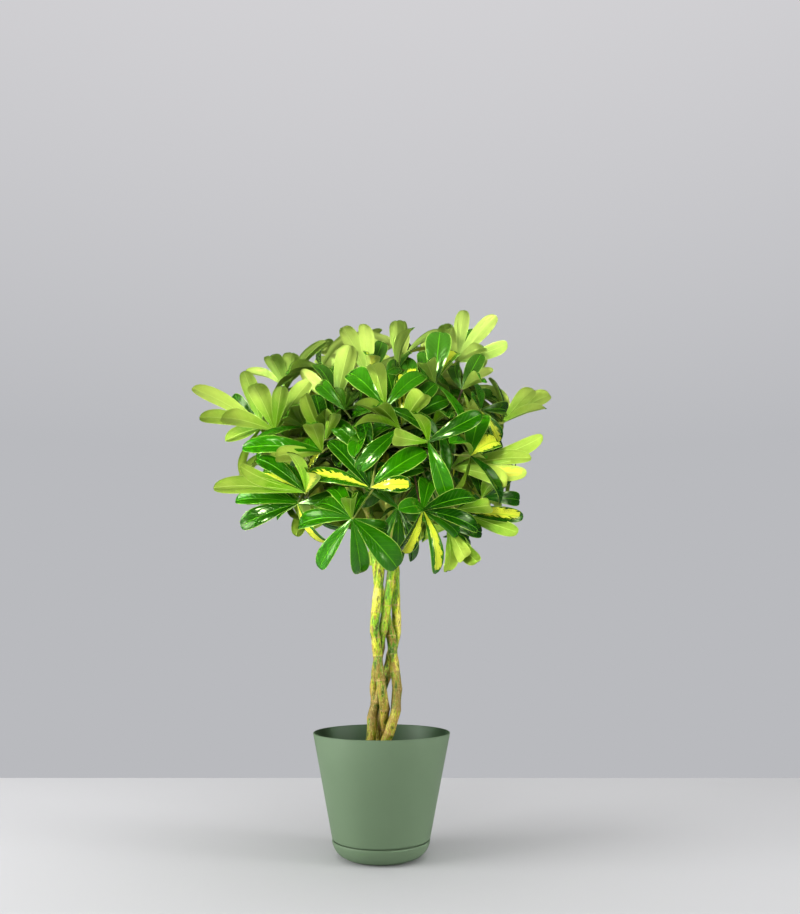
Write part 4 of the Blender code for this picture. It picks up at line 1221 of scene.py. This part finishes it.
def bark_material():
    """Living bark: green and yellow blotches, corky brown towards the soil, fine specks, and painted shade inside the
    crown and between the stems.
    """
    material, tree, shader = new_material("bark")
    place = tree.nodes.new("ShaderNodeTexCoord").outputs["Object"]
    stretched = add_node(tree, "ShaderNodeMapping", {"Vector": place, "Scale": (1.0, 1.0, 0.3)})
    mark = add_node(tree, "ShaderNodeAttribute", attribute_name="mark")
    broad = add_node(tree, "ShaderNodeTexNoise", {"Vector": stretched.outputs[0], "Scale": 95.0, "Detail": 4.0})
    blotch = add_node(tree, "ShaderNodeTexNoise", {"Vector": stretched.outputs[0], "Scale": 260.0, "Detail": 5.0})
    fine = add_node(tree, "ShaderNodeTexNoise", {"Vector": stretched.outputs[0], "Scale": 900.0, "Detail": 4.0})
    tone = add_node(tree, "ShaderNodeAttribute", attribute_name="tone")
    shift = maths(tree, "MULTIPLY_ADD", tone.outputs["Fac"], 0.22, -0.13)
    ramp = tree.nodes.new("ShaderNodeValToRGB")
    tree.links.new(maths(tree, "ADD", broad.outputs[0], shift), ramp.inputs[0])
    points = ramp.color_ramp.elements
    points[0].position, points[0].color = 0.36, linear(84, 150, 0)
    points[1].position, points[1].color = 0.68, linear(228, 220, 96)
    for position, colour in ((0.46, linear(136, 190, 4)), (0.56, linear(194, 202, 24))):
        point = points.new(position)
        point.color = colour
    height = add_node(tree, "ShaderNodeSeparateXYZ", {0: place})
    low = add_node(tree, "ShaderNodeMapRange", {"Value": height.outputs[2], "From Min": 0.34, "From Max": 0.20})
    corky = maths(tree, "MULTIPLY_ADD", low.outputs[0], 0.17, maths(tree, "SUBTRACT", blotch.outputs[0], 0.035))
    corky = maths(tree, "ADD", corky, maths(tree, "MULTIPLY", shift, -0.30))
    tanned = add_node(tree, "ShaderNodeMapRange", {"Value": corky, "From Min": 0.55, "From Max": 0.64})
    colour = blend_colours(tree, maths(tree, "MULTIPLY", tanned.outputs[0], 0.75), ramp.outputs[0],
                           linear(160, 114, 56))
    colour = blend_colours(tree, maths(tree, "MULTIPLY", low.outputs[0], 0.12), colour, linear(60, 44, 14))
    dark = add_node(tree, "ShaderNodeMapRange", {"Value": blotch.outputs[0], "From Min": 0.46, "From Max": 0.35})
    colour = blend_colours(tree, maths(tree, "MULTIPLY", dark.outputs[0], 0.85), colour, linear(44, 50, 4))
    speck = add_node(tree, "ShaderNodeMapRange", {"Value": fine.outputs[0], "From Min": 0.54, "From Max": 0.64})
    colour = blend_colours(tree, maths(tree, "MULTIPLY", speck.outputs[0], 0.45), colour, linear(80, 62, 16))
    pale = add_node(tree, "ShaderNodeMapRange", {"Value": fine.outputs[0], "From Min": 0.42, "From Max": 0.34})
    colour = blend_colours(tree, maths(tree, "MULTIPLY", pale.outputs[0], 0.40), colour, linear(226, 214, 130))
    colour = blend_colours(tree, maths(tree, "MULTIPLY", mark.outputs["Fac"], 0.60), colour, linear(196, 150, 104))
    # Painted shade: bark higher up, inside the crown, is darkened towards olive.
    painted_branch_shade = add_node(tree, "ShaderNodeMapRange", {"Value": height.outputs[2], "From Min": 0.38, "From Max": 0.46})
    colour = blend_colours(tree, maths(tree, "MULTIPLY", painted_branch_shade.outputs[0], 0.7), colour, linear(62, 88, 20))
    # Painted shade: bark darkened almost to black-brown where another stem lies close, in the crevices between the
    # stems.
    crevice = add_node(tree, "ShaderNodeAttribute", attribute_name="crevice")
    deep = maths(tree, "MULTIPLY", maths(tree, "POWER", crevice.outputs["Fac"], 1.3), 0.95)
    colour = blend_colours(tree, deep, colour, linear(34, 30, 8))
    tree.links.new(colour, shader.inputs["Base Color"])
    shader.inputs["Roughness"].default_value = 0.5
    shader.inputs["Specular IOR Level"].default_value = 0.3
    height = maths(tree, "ADD", blotch.outputs[0], maths(tree, "MULTIPLY", fine.outputs[0], 0.5))
    add_bump(tree, shader, height, 0.0010, 0.8)
    return material


def mark_crevice_shade(stem, lines, reach):
    """How near each point of a stem lies to another stem, 1 where they touch; it sets the painted shade between the
    stems.
    """
    others = [(point, size) for points, sizes, _, _ in lines for point, size in zip(points, sizes)]
    tree = KDTree(len(others))
    for index, (point, _) in enumerate(others):
        tree.insert(point, index)
    tree.balance()
    near = []
    for vertex in stem.data.vertices:
        _, index, gap = tree.find(vertex.co)
        near.append(max(0.0, min(1.0, 1.0 - (gap - others[index][1]) / reach)))
    put_attribute(stem.data, "crevice", near)


space = Space()
stems, shoots = plan_stems(space)
plan_crown(space, shoots)
add_front(space, shoots)
mark_patched(shoots)
thicken_crown(space, shoots)
bars, bar_keys = bar_tree()
bark = bark_material()
stem_lines = {}
for stem_name, tubes in stems:
    ring_draw = random.Random(stem_name)
    stem_lines[stem_name] = [ringed_path(path, plain_radii(radii), ring_draw) for path, radii in tubes]
for stem_name, lines in stem_lines.items():
    source = lines_object(stem_name + "_lines", lines)
    stem = grown_object(stem_name + "_bark", source, bars, bar_keys, {"Sides": 20, "Surface": bark})
    mark_crevice_shade(stem, [line for other in stem_lines if other != stem_name for line in stem_lines[other]], 0.007)
    finish_piece(stem, [bark], "bark", stem_name)


# Twigs and leaf stalks. Each shoot is a young green twig; the leaf stalks leave
# it one after another and swell where the leaflets join. A few old ones are
# dark brown.

STALK_SIDES = 8
STALK_SWELL = 0.0021
DARK_STALKS = 0.16


def stalk_line(leaf, draw):
    radii = [mix(*PETIOLE_RADII, index / 4) for index in range(5)]
    points, sizes = fine_path(leaf.petiole, radii, 4)
    count = len(points)
    sizes = [size * (1.0 + 0.5 * math.exp(-index / 1.2)) for index, size in enumerate(sizes)]
    for back in range(3):
        sizes[count - 1 - back] = mix(STALK_SWELL, sizes[count - 1 - back], (back / 3.0) ** 0.7)
    points.append(leaf.hub + leaf.axis * 0.0013)
    sizes.append(0.0012)
    shade = 1.0 if draw.random() < DARK_STALKS else draw.uniform(0.0, 0.35)
    return points, sizes, [shade] * len(points), [0.5] * len(points)


def crown_depth_group():
    """How deep in the crown a point lies, for the painted shade there: 0 at the outside, 1 at the middle."""
    tree = bpy.data.node_groups.new("crown_depth", "ShaderNodeTree")
    for label, value in (("Centre", CROWN_CENTRE), ("Reach", CROWN_REACH)):
        socket = tree.interface.new_socket(name=label, in_out="INPUT", socket_type="NodeSocketVector")
        socket.default_value = value
    tree.interface.new_socket(name="Depth", in_out="OUTPUT", socket_type="NodeSocketFloat")
    given, result = tree.nodes.new("NodeGroupInput"), tree.nodes.new("NodeGroupOutput")
    place = tree.nodes.new("ShaderNodeTexCoord").outputs["Object"]
    way = add_node(tree, "ShaderNodeVectorMath", {0: place, 1: given.outputs["Centre"]}, operation="SUBTRACT")
    share = add_node(tree, "ShaderNodeVectorMath", {0: way.outputs[0], 1: given.outputs["Reach"]}, operation="DIVIDE")
    reach = add_node(tree, "ShaderNodeVectorMath", {0: share.outputs[0]}, operation="LENGTH")
    depth = add_node(tree, "ShaderNodeMapRange", {
        "Value": reach.outputs["Value"], "From Min": 1.0, "From Max": 0.45})
    tree.links.new(depth.outputs[0], result.inputs["Depth"])
    return tree


def paint_crown_shade(tree, group, colour, strength):
    """Painted shade: darkens a colour towards the middle of the crown."""
    node = tree.nodes.new("ShaderNodeGroup")
    node.node_tree = group
    share = maths(tree, "MULTIPLY", node.outputs["Depth"], strength)
    return blend_colours(tree, share, colour, linear(10, 26, 0))


def stalk_material(painted_shade_group):
    material, tree, shader = new_material("green_stalk")
    place = tree.nodes.new("ShaderNodeTexCoord").outputs["Object"]
    mark = add_node(tree, "ShaderNodeAttribute", attribute_name="mark")
    cloud = add_node(tree, "ShaderNodeTexNoise", {"Vector": place, "Scale": 120.0, "Detail": 3.0})
    colour = blend_colours(tree, cloud.outputs[0], linear(116, 138, 42), linear(160, 172, 78))
    colour = blend_colours(tree, mark.outputs["Fac"], colour, linear(62, 44, 26))
    # Painted shade: stalks darker towards the middle of the crown.
    colour = paint_crown_shade(tree, painted_shade_group, colour, 0.85)
    tree.links.new(colour, shader.inputs["Base Color"])
    shader.inputs["Roughness"].default_value = 0.45
    shader.inputs["Specular IOR Level"].default_value = 0.3
    add_bump(tree, shader, cloud.outputs[0], 0.0003)
    return material


crown_depth = crown_depth_group()
green_stalk = stalk_material(crown_depth)
for shoot in shoots:
    stalk_draw = random.Random(shoot.name)
    twig, twig_sizes = fine_path(shoot.twig, [TWIG_RADII[0]] + twig_radii(shoot), 4)
    lines = [(twig, twig_sizes, [0.25] * len(twig), [0.5] * len(twig))]
    lines += [stalk_line(leaf, stalk_draw) for leaf in shoot.leaves]
    source = lines_object(shoot.name + "_lines", lines)
    stalks = grown_object(shoot.name + "_stalks", source, bars, bar_keys,
                          {"Sides": STALK_SIDES, "Surface": green_stalk})
    finish_piece(stalks, [green_stalk], "leaf", shoot.name)


# Leaflets. Each compound leaf spreads five to nine waxy leaflets like an
# umbrella's ribs: deep glossy green above, pale yellow-green below, folded on a
# pale midrib, and on some leaflets splashed with yellow between the veins.

CELLS_ACROSS = 4
CELLS_ALONG = 10
BLADE_EDGE = 0.00035
PATCH_CHANCE = 0.10


def named_value(tree, name, kind="FLOAT_VECTOR"):
    return add_node(tree, "GeometryNodeInputNamedAttribute", {"Name": name}, data_type=kind).outputs[0]


def vector_maths(tree, operation, first, second):
    node = tree.nodes.new("ShaderNodeVectorMath")
    node.operation = operation
    sockets = [node.inputs[0], node.inputs["Scale"] if operation == "SCALE" else node.inputs[1]]
    for socket, value in zip(sockets, (first, second)):
        if isinstance(value, bpy.types.NodeSocket):
            tree.links.new(value, socket)
        else:
            socket.default_value = value
    return node.outputs[0]


def store(tree, geometry, name, value, kind="FLOAT", domain="POINT"):
    node = tree.nodes.new("GeometryNodeStoreNamedAttribute")
    node.data_type, node.domain = kind, domain
    tree.links.new(geometry, node.inputs["Geometry"])
    node.inputs["Name"].default_value = name
    if isinstance(value, bpy.types.NodeSocket):
        tree.links.new(value, node.inputs["Value"])
    else:
        node.inputs["Value"].default_value = value
    return node.outputs[0]


def blade_template(tree, given):
    """Two sheets on one grid, upper and lower, with their place across and along."""
    grid = add_node(tree, "GeometryNodeMeshGrid", {"Size X": 2.0, "Size Y": 1.0})
    for label, socket in (("Across", "Vertices X"), ("Along", "Vertices Y")):
        tree.links.new(maths(tree, "ADD", given.outputs[label], 1.0), grid.inputs[socket])
    place = add_node(tree, "ShaderNodeSeparateXYZ", {0: tree.nodes.new("GeometryNodeInputPosition").outputs[0]})
    across = place.outputs[0]
    raw = maths(tree, "ADD", place.outputs[1], 0.5)
    along = maths(tree, "SUBTRACT", 1.0, maths(tree, "POWER", maths(tree, "SUBTRACT", 1.0, raw), 1.75))
    sheet = store(tree, grid.outputs[0], "leaf_u", across)
    sheet = store(tree, sheet, "leaf_s", along)
    flat = add_node(tree, "ShaderNodeCombineXYZ", {0: maths(tree, "MULTIPLY_ADD", across, 0.5, 0.5), 1: along})
    sheet = store(tree, sheet, "UVMap", flat.outputs[0], "FLOAT2", "CORNER")
    upper = store(tree, store(tree, sheet, "leaf_side", 1.0), "is_upper", True, "BOOLEAN", "FACE")
    turned = add_node(tree, "GeometryNodeFlipFaces", {"Mesh": sheet})
    lower = store(tree, store(tree, turned.outputs[0], "leaf_side", -1.0), "is_upper", False, "BOOLEAN", "FACE")
    both = tree.nodes.new("GeometryNodeJoinGeometry")
    tree.links.new(lower, both.inputs[0])
    tree.links.new(upper, both.inputs[0])
    return both.outputs[0]


def leaflet_tree():
    """One blade on each point, bent to the point's own directions and sizes."""
    tree, given, result, keys = new_geometry_tree("leaflets", (
        ("Across", "NodeSocketInt"), ("Along", "NodeSocketInt"), ("Thickness", "NodeSocketFloat"),
        ("Upper", "NodeSocketMaterial"), ("Lower", "NodeSocketMaterial")))
    placed = add_node(tree, "GeometryNodeInstanceOnPoints", {
        "Points": given.outputs["Geometry"], "Instance": blade_template(tree, given)})
    real = add_node(tree, "GeometryNodeRealizeInstances", {"Geometry": placed.outputs[0]})
    u, s = named_value(tree, "leaf_u", "FLOAT"), named_value(tree, "leaf_s", "FLOAT")
    side_sign = named_value(tree, "leaf_side", "FLOAT")
    size = add_node(tree, "ShaderNodeSeparateXYZ", {0: named_value(tree, "size")})
    bend = add_node(tree, "ShaderNodeSeparateXYZ", {0: named_value(tree, "bend")})
    curl = add_node(tree, "ShaderNodeSeparateXYZ", {0: named_value(tree, "curl")})
    length, width, arch = size.outputs
    fold, bulge, wave = bend.outputs
    droop, twist, turn = curl.outputs
    rest = maths(tree, "SUBTRACT", 1.0, s)
    outline = maths(tree, "MULTIPLY", maths(tree, "POWER", s, 1.05), maths(tree, "POWER", rest, 0.44))
    half = maths(tree, "MULTIPLY", maths(tree, "MULTIPLY", outline, 2.60), maths(tree, "MULTIPLY", width, 0.5))
    half = maths(tree, "MULTIPLY_ADD", rest, 0.0007, half)
    off = maths(tree, "ABSOLUTE", u)
    across = maths(tree, "MULTIPLY", u, half)
    ahead = maths(tree, "MULTIPLY_ADD", s, length, maths(tree, "MULTIPLY", rest, -0.0012))
    bow = maths(tree, "MULTIPLY", maths(tree, "MULTIPLY", s, rest), maths(tree, "MULTIPLY", arch, 4.0))
    sag = maths(tree, "MULTIPLY", maths(tree, "POWER", s, 4.0), droop)
    rise = maths(tree, "MULTIPLY", maths(tree, "SUBTRACT", bow, sag), length)
    inner = maths(tree, "MULTIPLY", maths(tree, "MULTIPLY", off, maths(tree, "SUBTRACT", 1.0, off)), 4.0)
    lift = maths(tree, "MULTIPLY_ADD", inner, bulge, maths(tree, "MULTIPLY", off, fold))
    lift = maths(tree, "MULTIPLY_ADD", maths(tree, "MULTIPLY", u, s), twist, lift)
    lift = maths(tree, "MULTIPLY", lift, half)
    ripple = maths(tree, "SINE", maths(tree, "MULTIPLY_ADD", s, 13.0, turn))
    ripple = maths(tree, "MULTIPLY", maths(tree, "MULTIPLY", ripple, maths(tree, "POWER", off, 2.0)), wave)
    lift = maths(tree, "MULTIPLY_ADD", ripple, half, lift)
    root = maths(tree, "POWER", rest, 12.0)
    depth = maths(tree, "MULTIPLY_ADD", root, 0.0006, given.outputs["Thickness"])
    depth = maths(tree, "MULTIPLY", depth, maths(tree, "SUBTRACT", 1.0, maths(tree, "POWER", off, 3.0)))
    height = maths(tree, "MULTIPLY_ADD", side_sign, depth, maths(tree, "ADD", rise, lift))
    place = vector_maths(tree, "ADD", named_value(tree, "hub"), vector_maths(tree, "SCALE", named_value(tree, "along"), ahead))
    place = vector_maths(tree, "ADD", place, vector_maths(tree, "SCALE", named_value(tree, "side"), across))
    place = vector_maths(tree, "ADD", place, vector_maths(tree, "SCALE", named_value(tree, "up"), height))
    shaped = add_node(tree, "GeometryNodeSetPosition", {"Geometry": real.outputs[0], "Position": place})
    sealed = add_node(tree, "GeometryNodeMergeByDistance", {"Geometry": shaped.outputs[0], "Distance": 0.000005})
    smooth = add_node(tree, "GeometryNodeSetShadeSmooth", {"Geometry": sealed.outputs[0]})
    corner = add_node(tree, "GeometryNodeInputMeshEdgeAngle")
    keen = add_node(tree, "FunctionNodeCompare", {0: corner.outputs[0], 1: 1.8}, operation="GREATER_THAN")
    smooth = add_node(tree, "GeometryNodeSetShadeSmooth", {
        "Geometry": smooth.outputs[0], "Selection": keen.outputs[0], "Shade Smooth": False}, domain="EDGE")
    top = add_node(tree, "GeometryNodeSetMaterial", {
        "Geometry": smooth.outputs[0], "Material": given.outputs["Upper"],
        "Selection": named_value(tree, "is_upper", "BOOLEAN")})
    under = add_node(tree, "FunctionNodeBooleanMath", {0: named_value(tree, "is_upper", "BOOLEAN")}, operation="NOT")
    done = add_node(tree, "GeometryNodeSetMaterial", {
        "Geometry": top.outputs[0], "Material": given.outputs["Lower"], "Selection": under.outputs[0]})
    tree.links.new(done.outputs[0], result.inputs[0])
    return tree, keys


def leaf_pattern_group():
    """Midrib, side veins, margin and yellow patches of a leaflet, as masks."""
    tree = bpy.data.node_groups.new("leaf_pattern", "ShaderNodeTree")
    for label, kind in (("Veins", "NodeSocketFloat"), ("Slant", "NodeSocketFloat")):
        tree.interface.new_socket(name=label, in_out="INPUT", socket_type=kind)
    for label in ("Midrib", "Vein", "Margin", "Patch", "Tone", "Along"):
        tree.interface.new_socket(name=label, in_out="OUTPUT", socket_type="NodeSocketFloat")
    given, result = tree.nodes.new("NodeGroupInput"), tree.nodes.new("NodeGroupOutput")
    flat = add_node(tree, "ShaderNodeUVMap", uv_map="UVMap")
    place = add_node(tree, "ShaderNodeSeparateXYZ", {0: flat.outputs[0]})
    across = maths(tree, "MULTIPLY_ADD", place.outputs[0], 2.0, -1.0)
    off = maths(tree, "ABSOLUTE", across)
    s = place.outputs[1]
    random_values = add_node(tree, "ShaderNodeSeparateXYZ", {
        0: add_node(tree, "ShaderNodeAttribute", attribute_name="chance").outputs["Vector"]})
    leaf_number, patched, tone = random_values.outputs
    rib = add_node(tree, "ShaderNodeMapRange", {
        "Value": off, "From Min": 0.065, "From Max": 0.02, "To Min": 0.0, "To Max": 1.0}, interpolation_type="SMOOTHSTEP")
    slanted = maths(tree, "SUBTRACT", maths(tree, "MULTIPLY", s, given.outputs["Veins"]),
                    maths(tree, "MULTIPLY", off, given.outputs["Slant"]))
    saw = maths(tree, "ABSOLUTE", maths(tree, "SUBTRACT", maths(tree, "FRACT", slanted), 0.5))
    vein = add_node(tree, "ShaderNodeMapRange", {
        "Value": saw, "From Min": 0.40, "From Max": 0.50}, interpolation_type="SMOOTHSTEP")
    margin = add_node(tree, "ShaderNodeMapRange", {
        "Value": off, "From Min": 0.925, "From Max": 0.97}, interpolation_type="SMOOTHSTEP")
    cell = add_node(tree, "ShaderNodeCombineXYZ", {
        0: maths(tree, "FLOOR", maths(tree, "MULTIPLY", slanted, 2.0)),
        1: maths(tree, "SIGN", across), 2: leaf_number})
    reach = add_node(tree, "ShaderNodeTexWhiteNoise", {"Vector": cell.outputs[0]}, noise_dimensions="3D")
    lean = add_node(tree, "ShaderNodeTexWhiteNoise", {"Vector": add_node(tree, "ShaderNodeCombineXYZ", {
        0: 7.0, 1: maths(tree, "SIGN", across), 2: leaf_number}).outputs[0]}, noise_dimensions="3D")
    broad = maths(tree, "MULTIPLY_ADD", lean.outputs["Value"], 0.60, 0.02)
    limit = maths(tree, "MULTIPLY", maths(tree, "MULTIPLY_ADD", reach.outputs["Value"], 0.35, broad), patched)
    patch = maths(tree, "LESS_THAN", off, limit)
    ends = add_node(tree, "ShaderNodeMapRange", {"Value": s, "From Min": 0.97, "From Max": 0.90})
    patch = maths(tree, "MULTIPLY", patch, maths(tree, "GREATER_THAN", ends.outputs[0], 0.5))
    for label, value in (("Midrib", rib.outputs[0]), ("Vein", vein.outputs[0]), ("Margin", margin.outputs[0]),
                         ("Patch", patch), ("Tone", tone), ("Along", s)):
        tree.links.new(value, result.inputs[label])
    return tree


def leaf_material(name, pattern, colours, roughness, relief, young_and_top_light, tipped):
    """colours: dark, light, midrib, margin and patch; relief: height of the ribs.

    young_and_top_light: how much paler the leaflets near the crown's top are, partly the paler
    colour of new growth and partly painted light from above; tipped: how much
    paler a leaflet is towards its tip, partly its own colour and partly painted
    shade towards its base.
    """
    dark, light, midrib, margin, patch = colours
    material, tree, shader = new_material(name)
    marks = tree.nodes.new("ShaderNodeGroup")
    marks.node_tree = pattern
    marks.inputs["Veins"].default_value = 11.0
    marks.inputs["Slant"].default_value = 2.2
    place = tree.nodes.new("ShaderNodeTexCoord").outputs["Object"]
    cloud = add_node(tree, "ShaderNodeTexNoise", {"Vector": place, "Scale": 85.0, "Detail": 4.0})
    speck = add_node(tree, "ShaderNodeTexNoise", {"Vector": place, "Scale": 700.0, "Detail": 2.0})
    share = maths(tree, "MULTIPLY_ADD", cloud.outputs[0], 0.5, maths(tree, "MULTIPLY_ADD", marks.outputs["Tone"], 0.7, -0.25))
    # Partly painted shade: a leaflet darker towards its base; partly its own paler tip.
    tip = add_node(tree, "ShaderNodeMapRange", {"Value": marks.outputs["Along"], "From Min": 0.15, "From Max": 0.85})
    share = maths(tree, "ADD", share, maths(tree, "MULTIPLY", maths(tree, "SUBTRACT", tip.outputs[0], 0.5), tipped))
    share = add_node(tree, "ShaderNodeClamp", {"Value": share}).outputs[0]
    colour = blend_colours(tree, share, dark, light)
    height = add_node(tree, "ShaderNodeSeparateXYZ", {0: place})
    # Partly painted light: leaflets paler towards the crown's top, where light falls from above; partly the paler new
    # growth there.
    top = add_node(tree, "ShaderNodeMapRange", {"Value": height.outputs[2], "From Min": 0.56, "From Max": 0.70})
    colour = blend_colours(tree, maths(tree, "MULTIPLY", top.outputs[0], young_and_top_light), colour, linear(216, 232, 134))
    colour = blend_colours(tree, marks.outputs["Patch"], colour, patch)
    colour = blend_colours(tree, maths(tree, "MULTIPLY", marks.outputs["Vein"], 0.12), colour, midrib)
    colour = blend_colours(tree, maths(tree, "MULTIPLY", marks.outputs["Midrib"], 0.60), colour, midrib)
    colour = blend_colours(tree, maths(tree, "MULTIPLY", marks.outputs["Margin"], 0.62), colour, margin)
    # Painted shade: leaflets darker towards the middle of the crown.
    colour = paint_crown_shade(tree, crown_depth, colour, 0.80)
    tree.links.new(colour, shader.inputs["Base Color"])
    shader.inputs["Specular Tint"].default_value = (0.70, 1.0, 0.42, 1.0)
    rough = add_node(tree, "ShaderNodeMapRange", {
        "Value": speck.outputs[0], "To Min": roughness - 0.05, "To Max": roughness + 0.07})
    tree.links.new(rough.outputs[0], shader.inputs["Roughness"])
    height = maths(tree, "ADD", maths(tree, "MULTIPLY", marks.outputs["Midrib"], relief),
                   maths(tree, "MULTIPLY", marks.outputs["Vein"], relief * 0.35))
    add_bump(tree, shader, height, 0.0005, 0.6)
    return material


def leaflet_points(name, leaflets, draw):
    """A point for each leaflet, holding the directions and sizes of its blade."""
    mesh = bpy.data.meshes.new(name)
    mesh.from_pydata([tuple(leaflet.root) for leaflet in leaflets], [], [])
    rows = {"hub": [], "along": [], "side": [], "up": [], "size": [], "bend": [], "curl": [], "chance": []}
    for leaflet in leaflets:
        along, normal, side, length = leaflet.frame()
        rows["hub"].append(leaflet.root)
        rows["along"].append(along)
        rows["side"].append(side)
        rows["up"].append(normal)
        rows["size"].append(Vector((length, leaflet.width, leaflet.arch)))
        rows["bend"].append(Vector((draw.uniform(0.20, 0.60), draw.uniform(0.18, 0.36), draw.uniform(0.02, 0.09))))
        rows["curl"].append(Vector((draw.uniform(0.0, 0.09), draw.uniform(-0.3, 0.3), draw.uniform(0.0, 6.0))))
        patched = leaflet.patches if leaflet.patches is not None else float(draw.random() < PATCH_CHANCE)
        rows["chance"].append(Vector((draw.uniform(1.0, 90.0), patched, draw.random())))
    for key, values in rows.items():
        put_attribute(mesh, key, values)
    item = bpy.data.objects.new(name, mesh)
    bpy.context.scene.collection.objects.link(item)
    return item


blades, blade_keys = leaflet_tree()
pattern = leaf_pattern_group()
leaf_upper = leaf_material("leaf_upper", pattern, (
    linear(5, 46, 0), linear(44, 122, 0), linear(96, 176, 20), linear(168, 206, 80), linear(198, 208, 50)), 0.13, -1.0, 0.05, 0.2)
leaf_lower = leaf_material("leaf_lower", pattern, (
    linear(100, 152, 6), linear(192, 216, 84), linear(204, 232, 110), linear(212, 234, 118), linear(222, 226, 80)), 0.40, 1.0, 0.42, 0.8)
for shoot in shoots:
    leaflets = [leaflet for leaf in shoot.leaves for leaflet in leaf.leaflets]
    source = leaflet_points(shoot.name + "_points", leaflets, random.Random(shoot.name + " leaves"))
    foliage = grown_object(shoot.name + "_leaflets", source, blades, blade_keys, {
        "Across": CELLS_ACROSS, "Along": CELLS_ALONG, "Thickness": BLADE_EDGE,
        "Upper": leaf_upper, "Lower": leaf_lower})
    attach(foliage, "root")
    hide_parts(shoot.name)


# Floor, light and camera. A pale studio floor that ends behind the plant, an even
# grey background, a large soft light from the front left and weaker fill.

FLOOR_END = 0.56


def area_light(name, place, target, width, height, power, spread=180.0, mirrored=True):
    light = bpy.data.lights.new(name, "AREA")
    light.shape = "RECTANGLE"
    light.size, light.size_y, light.energy = width, height, power
    light.spread = math.radians(spread)
    item = bpy.data.objects.new(name, light)
    item.location = place
    item.rotation_euler = (Vector(target) - Vector(place)).to_track_quat("-Z", "Y").to_euler()
    item.visible_glossy = mirrored
    bpy.context.scene.collection.objects.link(item)


floor_corners = [(-7.0, -7.0, 0.0), (7.0, -7.0, 0.0), (7.0, FLOOR_END, 0.0), (-7.0, FLOOR_END, 0.0)]
floor = plain_object("floor", floor_corners, [(0, 1, 2, 3)])
floor_surface, _, floor_shader = new_material("floor")
floor_shader.inputs["Base Color"].default_value = linear(198, 198, 200)
floor_shader.inputs["Roughness"].default_value = 0.9
floor.data.materials.append(floor_surface)

world = bpy.data.worlds.new("studio")
world.use_nodes = True
sky = world.node_tree
rising = add_node(sky, "ShaderNodeSeparateXYZ", {0: sky.nodes.new("ShaderNodeTexCoord").outputs["Generated"]})
height = add_node(sky, "ShaderNodeMapRange", {"Value": rising.outputs[2], "From Min": 0.22, "From Max": 0.70})
seen = blend_colours(sky, height.outputs[0], linear(185, 186, 190), linear(211, 210, 213))
ambient = blend_colours(sky, height.outputs[0], (0.54, 0.54, 0.54, 1.0), (0.50, 0.50, 0.50, 1.0))
rays = sky.nodes.new("ShaderNodeLightPath")
ambient = blend_colours(sky, rays.outputs["Is Glossy Ray"], ambient, (0.04, 0.04, 0.04, 1.0))
background = sky.nodes["Background"]
sky.links.new(blend_colours(sky, rays.outputs["Is Camera Ray"], ambient, seen), background.inputs["Color"])
bpy.context.scene.world = world
bpy.context.scene.view_settings.view_transform = "Standard"

area_light("soft_left", (-2.15, -0.8, 0.65), (0.0, 0.0, 0.42), 1.4, 1.4, 65.0)
area_light("soft_right", (2.1, -0.7, 0.70), (0.0, 0.0, 0.40), 0.9, 1.3, 14.0)
area_light("low_right", (2.1, -0.7, 0.35), (0.0, 0.0, 0.06), 0.5, 0.5, 0.34, 20.0)
area_light("soft_front", (-0.6, -1.9, 0.75), (0.0, 0.0, 0.62), 0.5, 0.5, 1.8, 22.0)
area_light("soft_top", (0.0, -0.4, 2.4), (0.0, 0.0, 0.5), 2.2, 2.2, 32.0, mirrored=False)

camera = bpy.data.cameras.new("camera")
camera.sensor_width = 36.0
camera.lens = VIEW_FOCAL * camera.sensor_width / 914.0
viewer = bpy.data.objects.new("camera", camera)
viewer.location = VIEW_EYE
viewer.rotation_euler = (math.radians(90.0) + VIEW_PITCH, 0.0, 0.0)
bpy.context.scene.collection.objects.link(viewer)
bpy.context.scene.camera = viewer
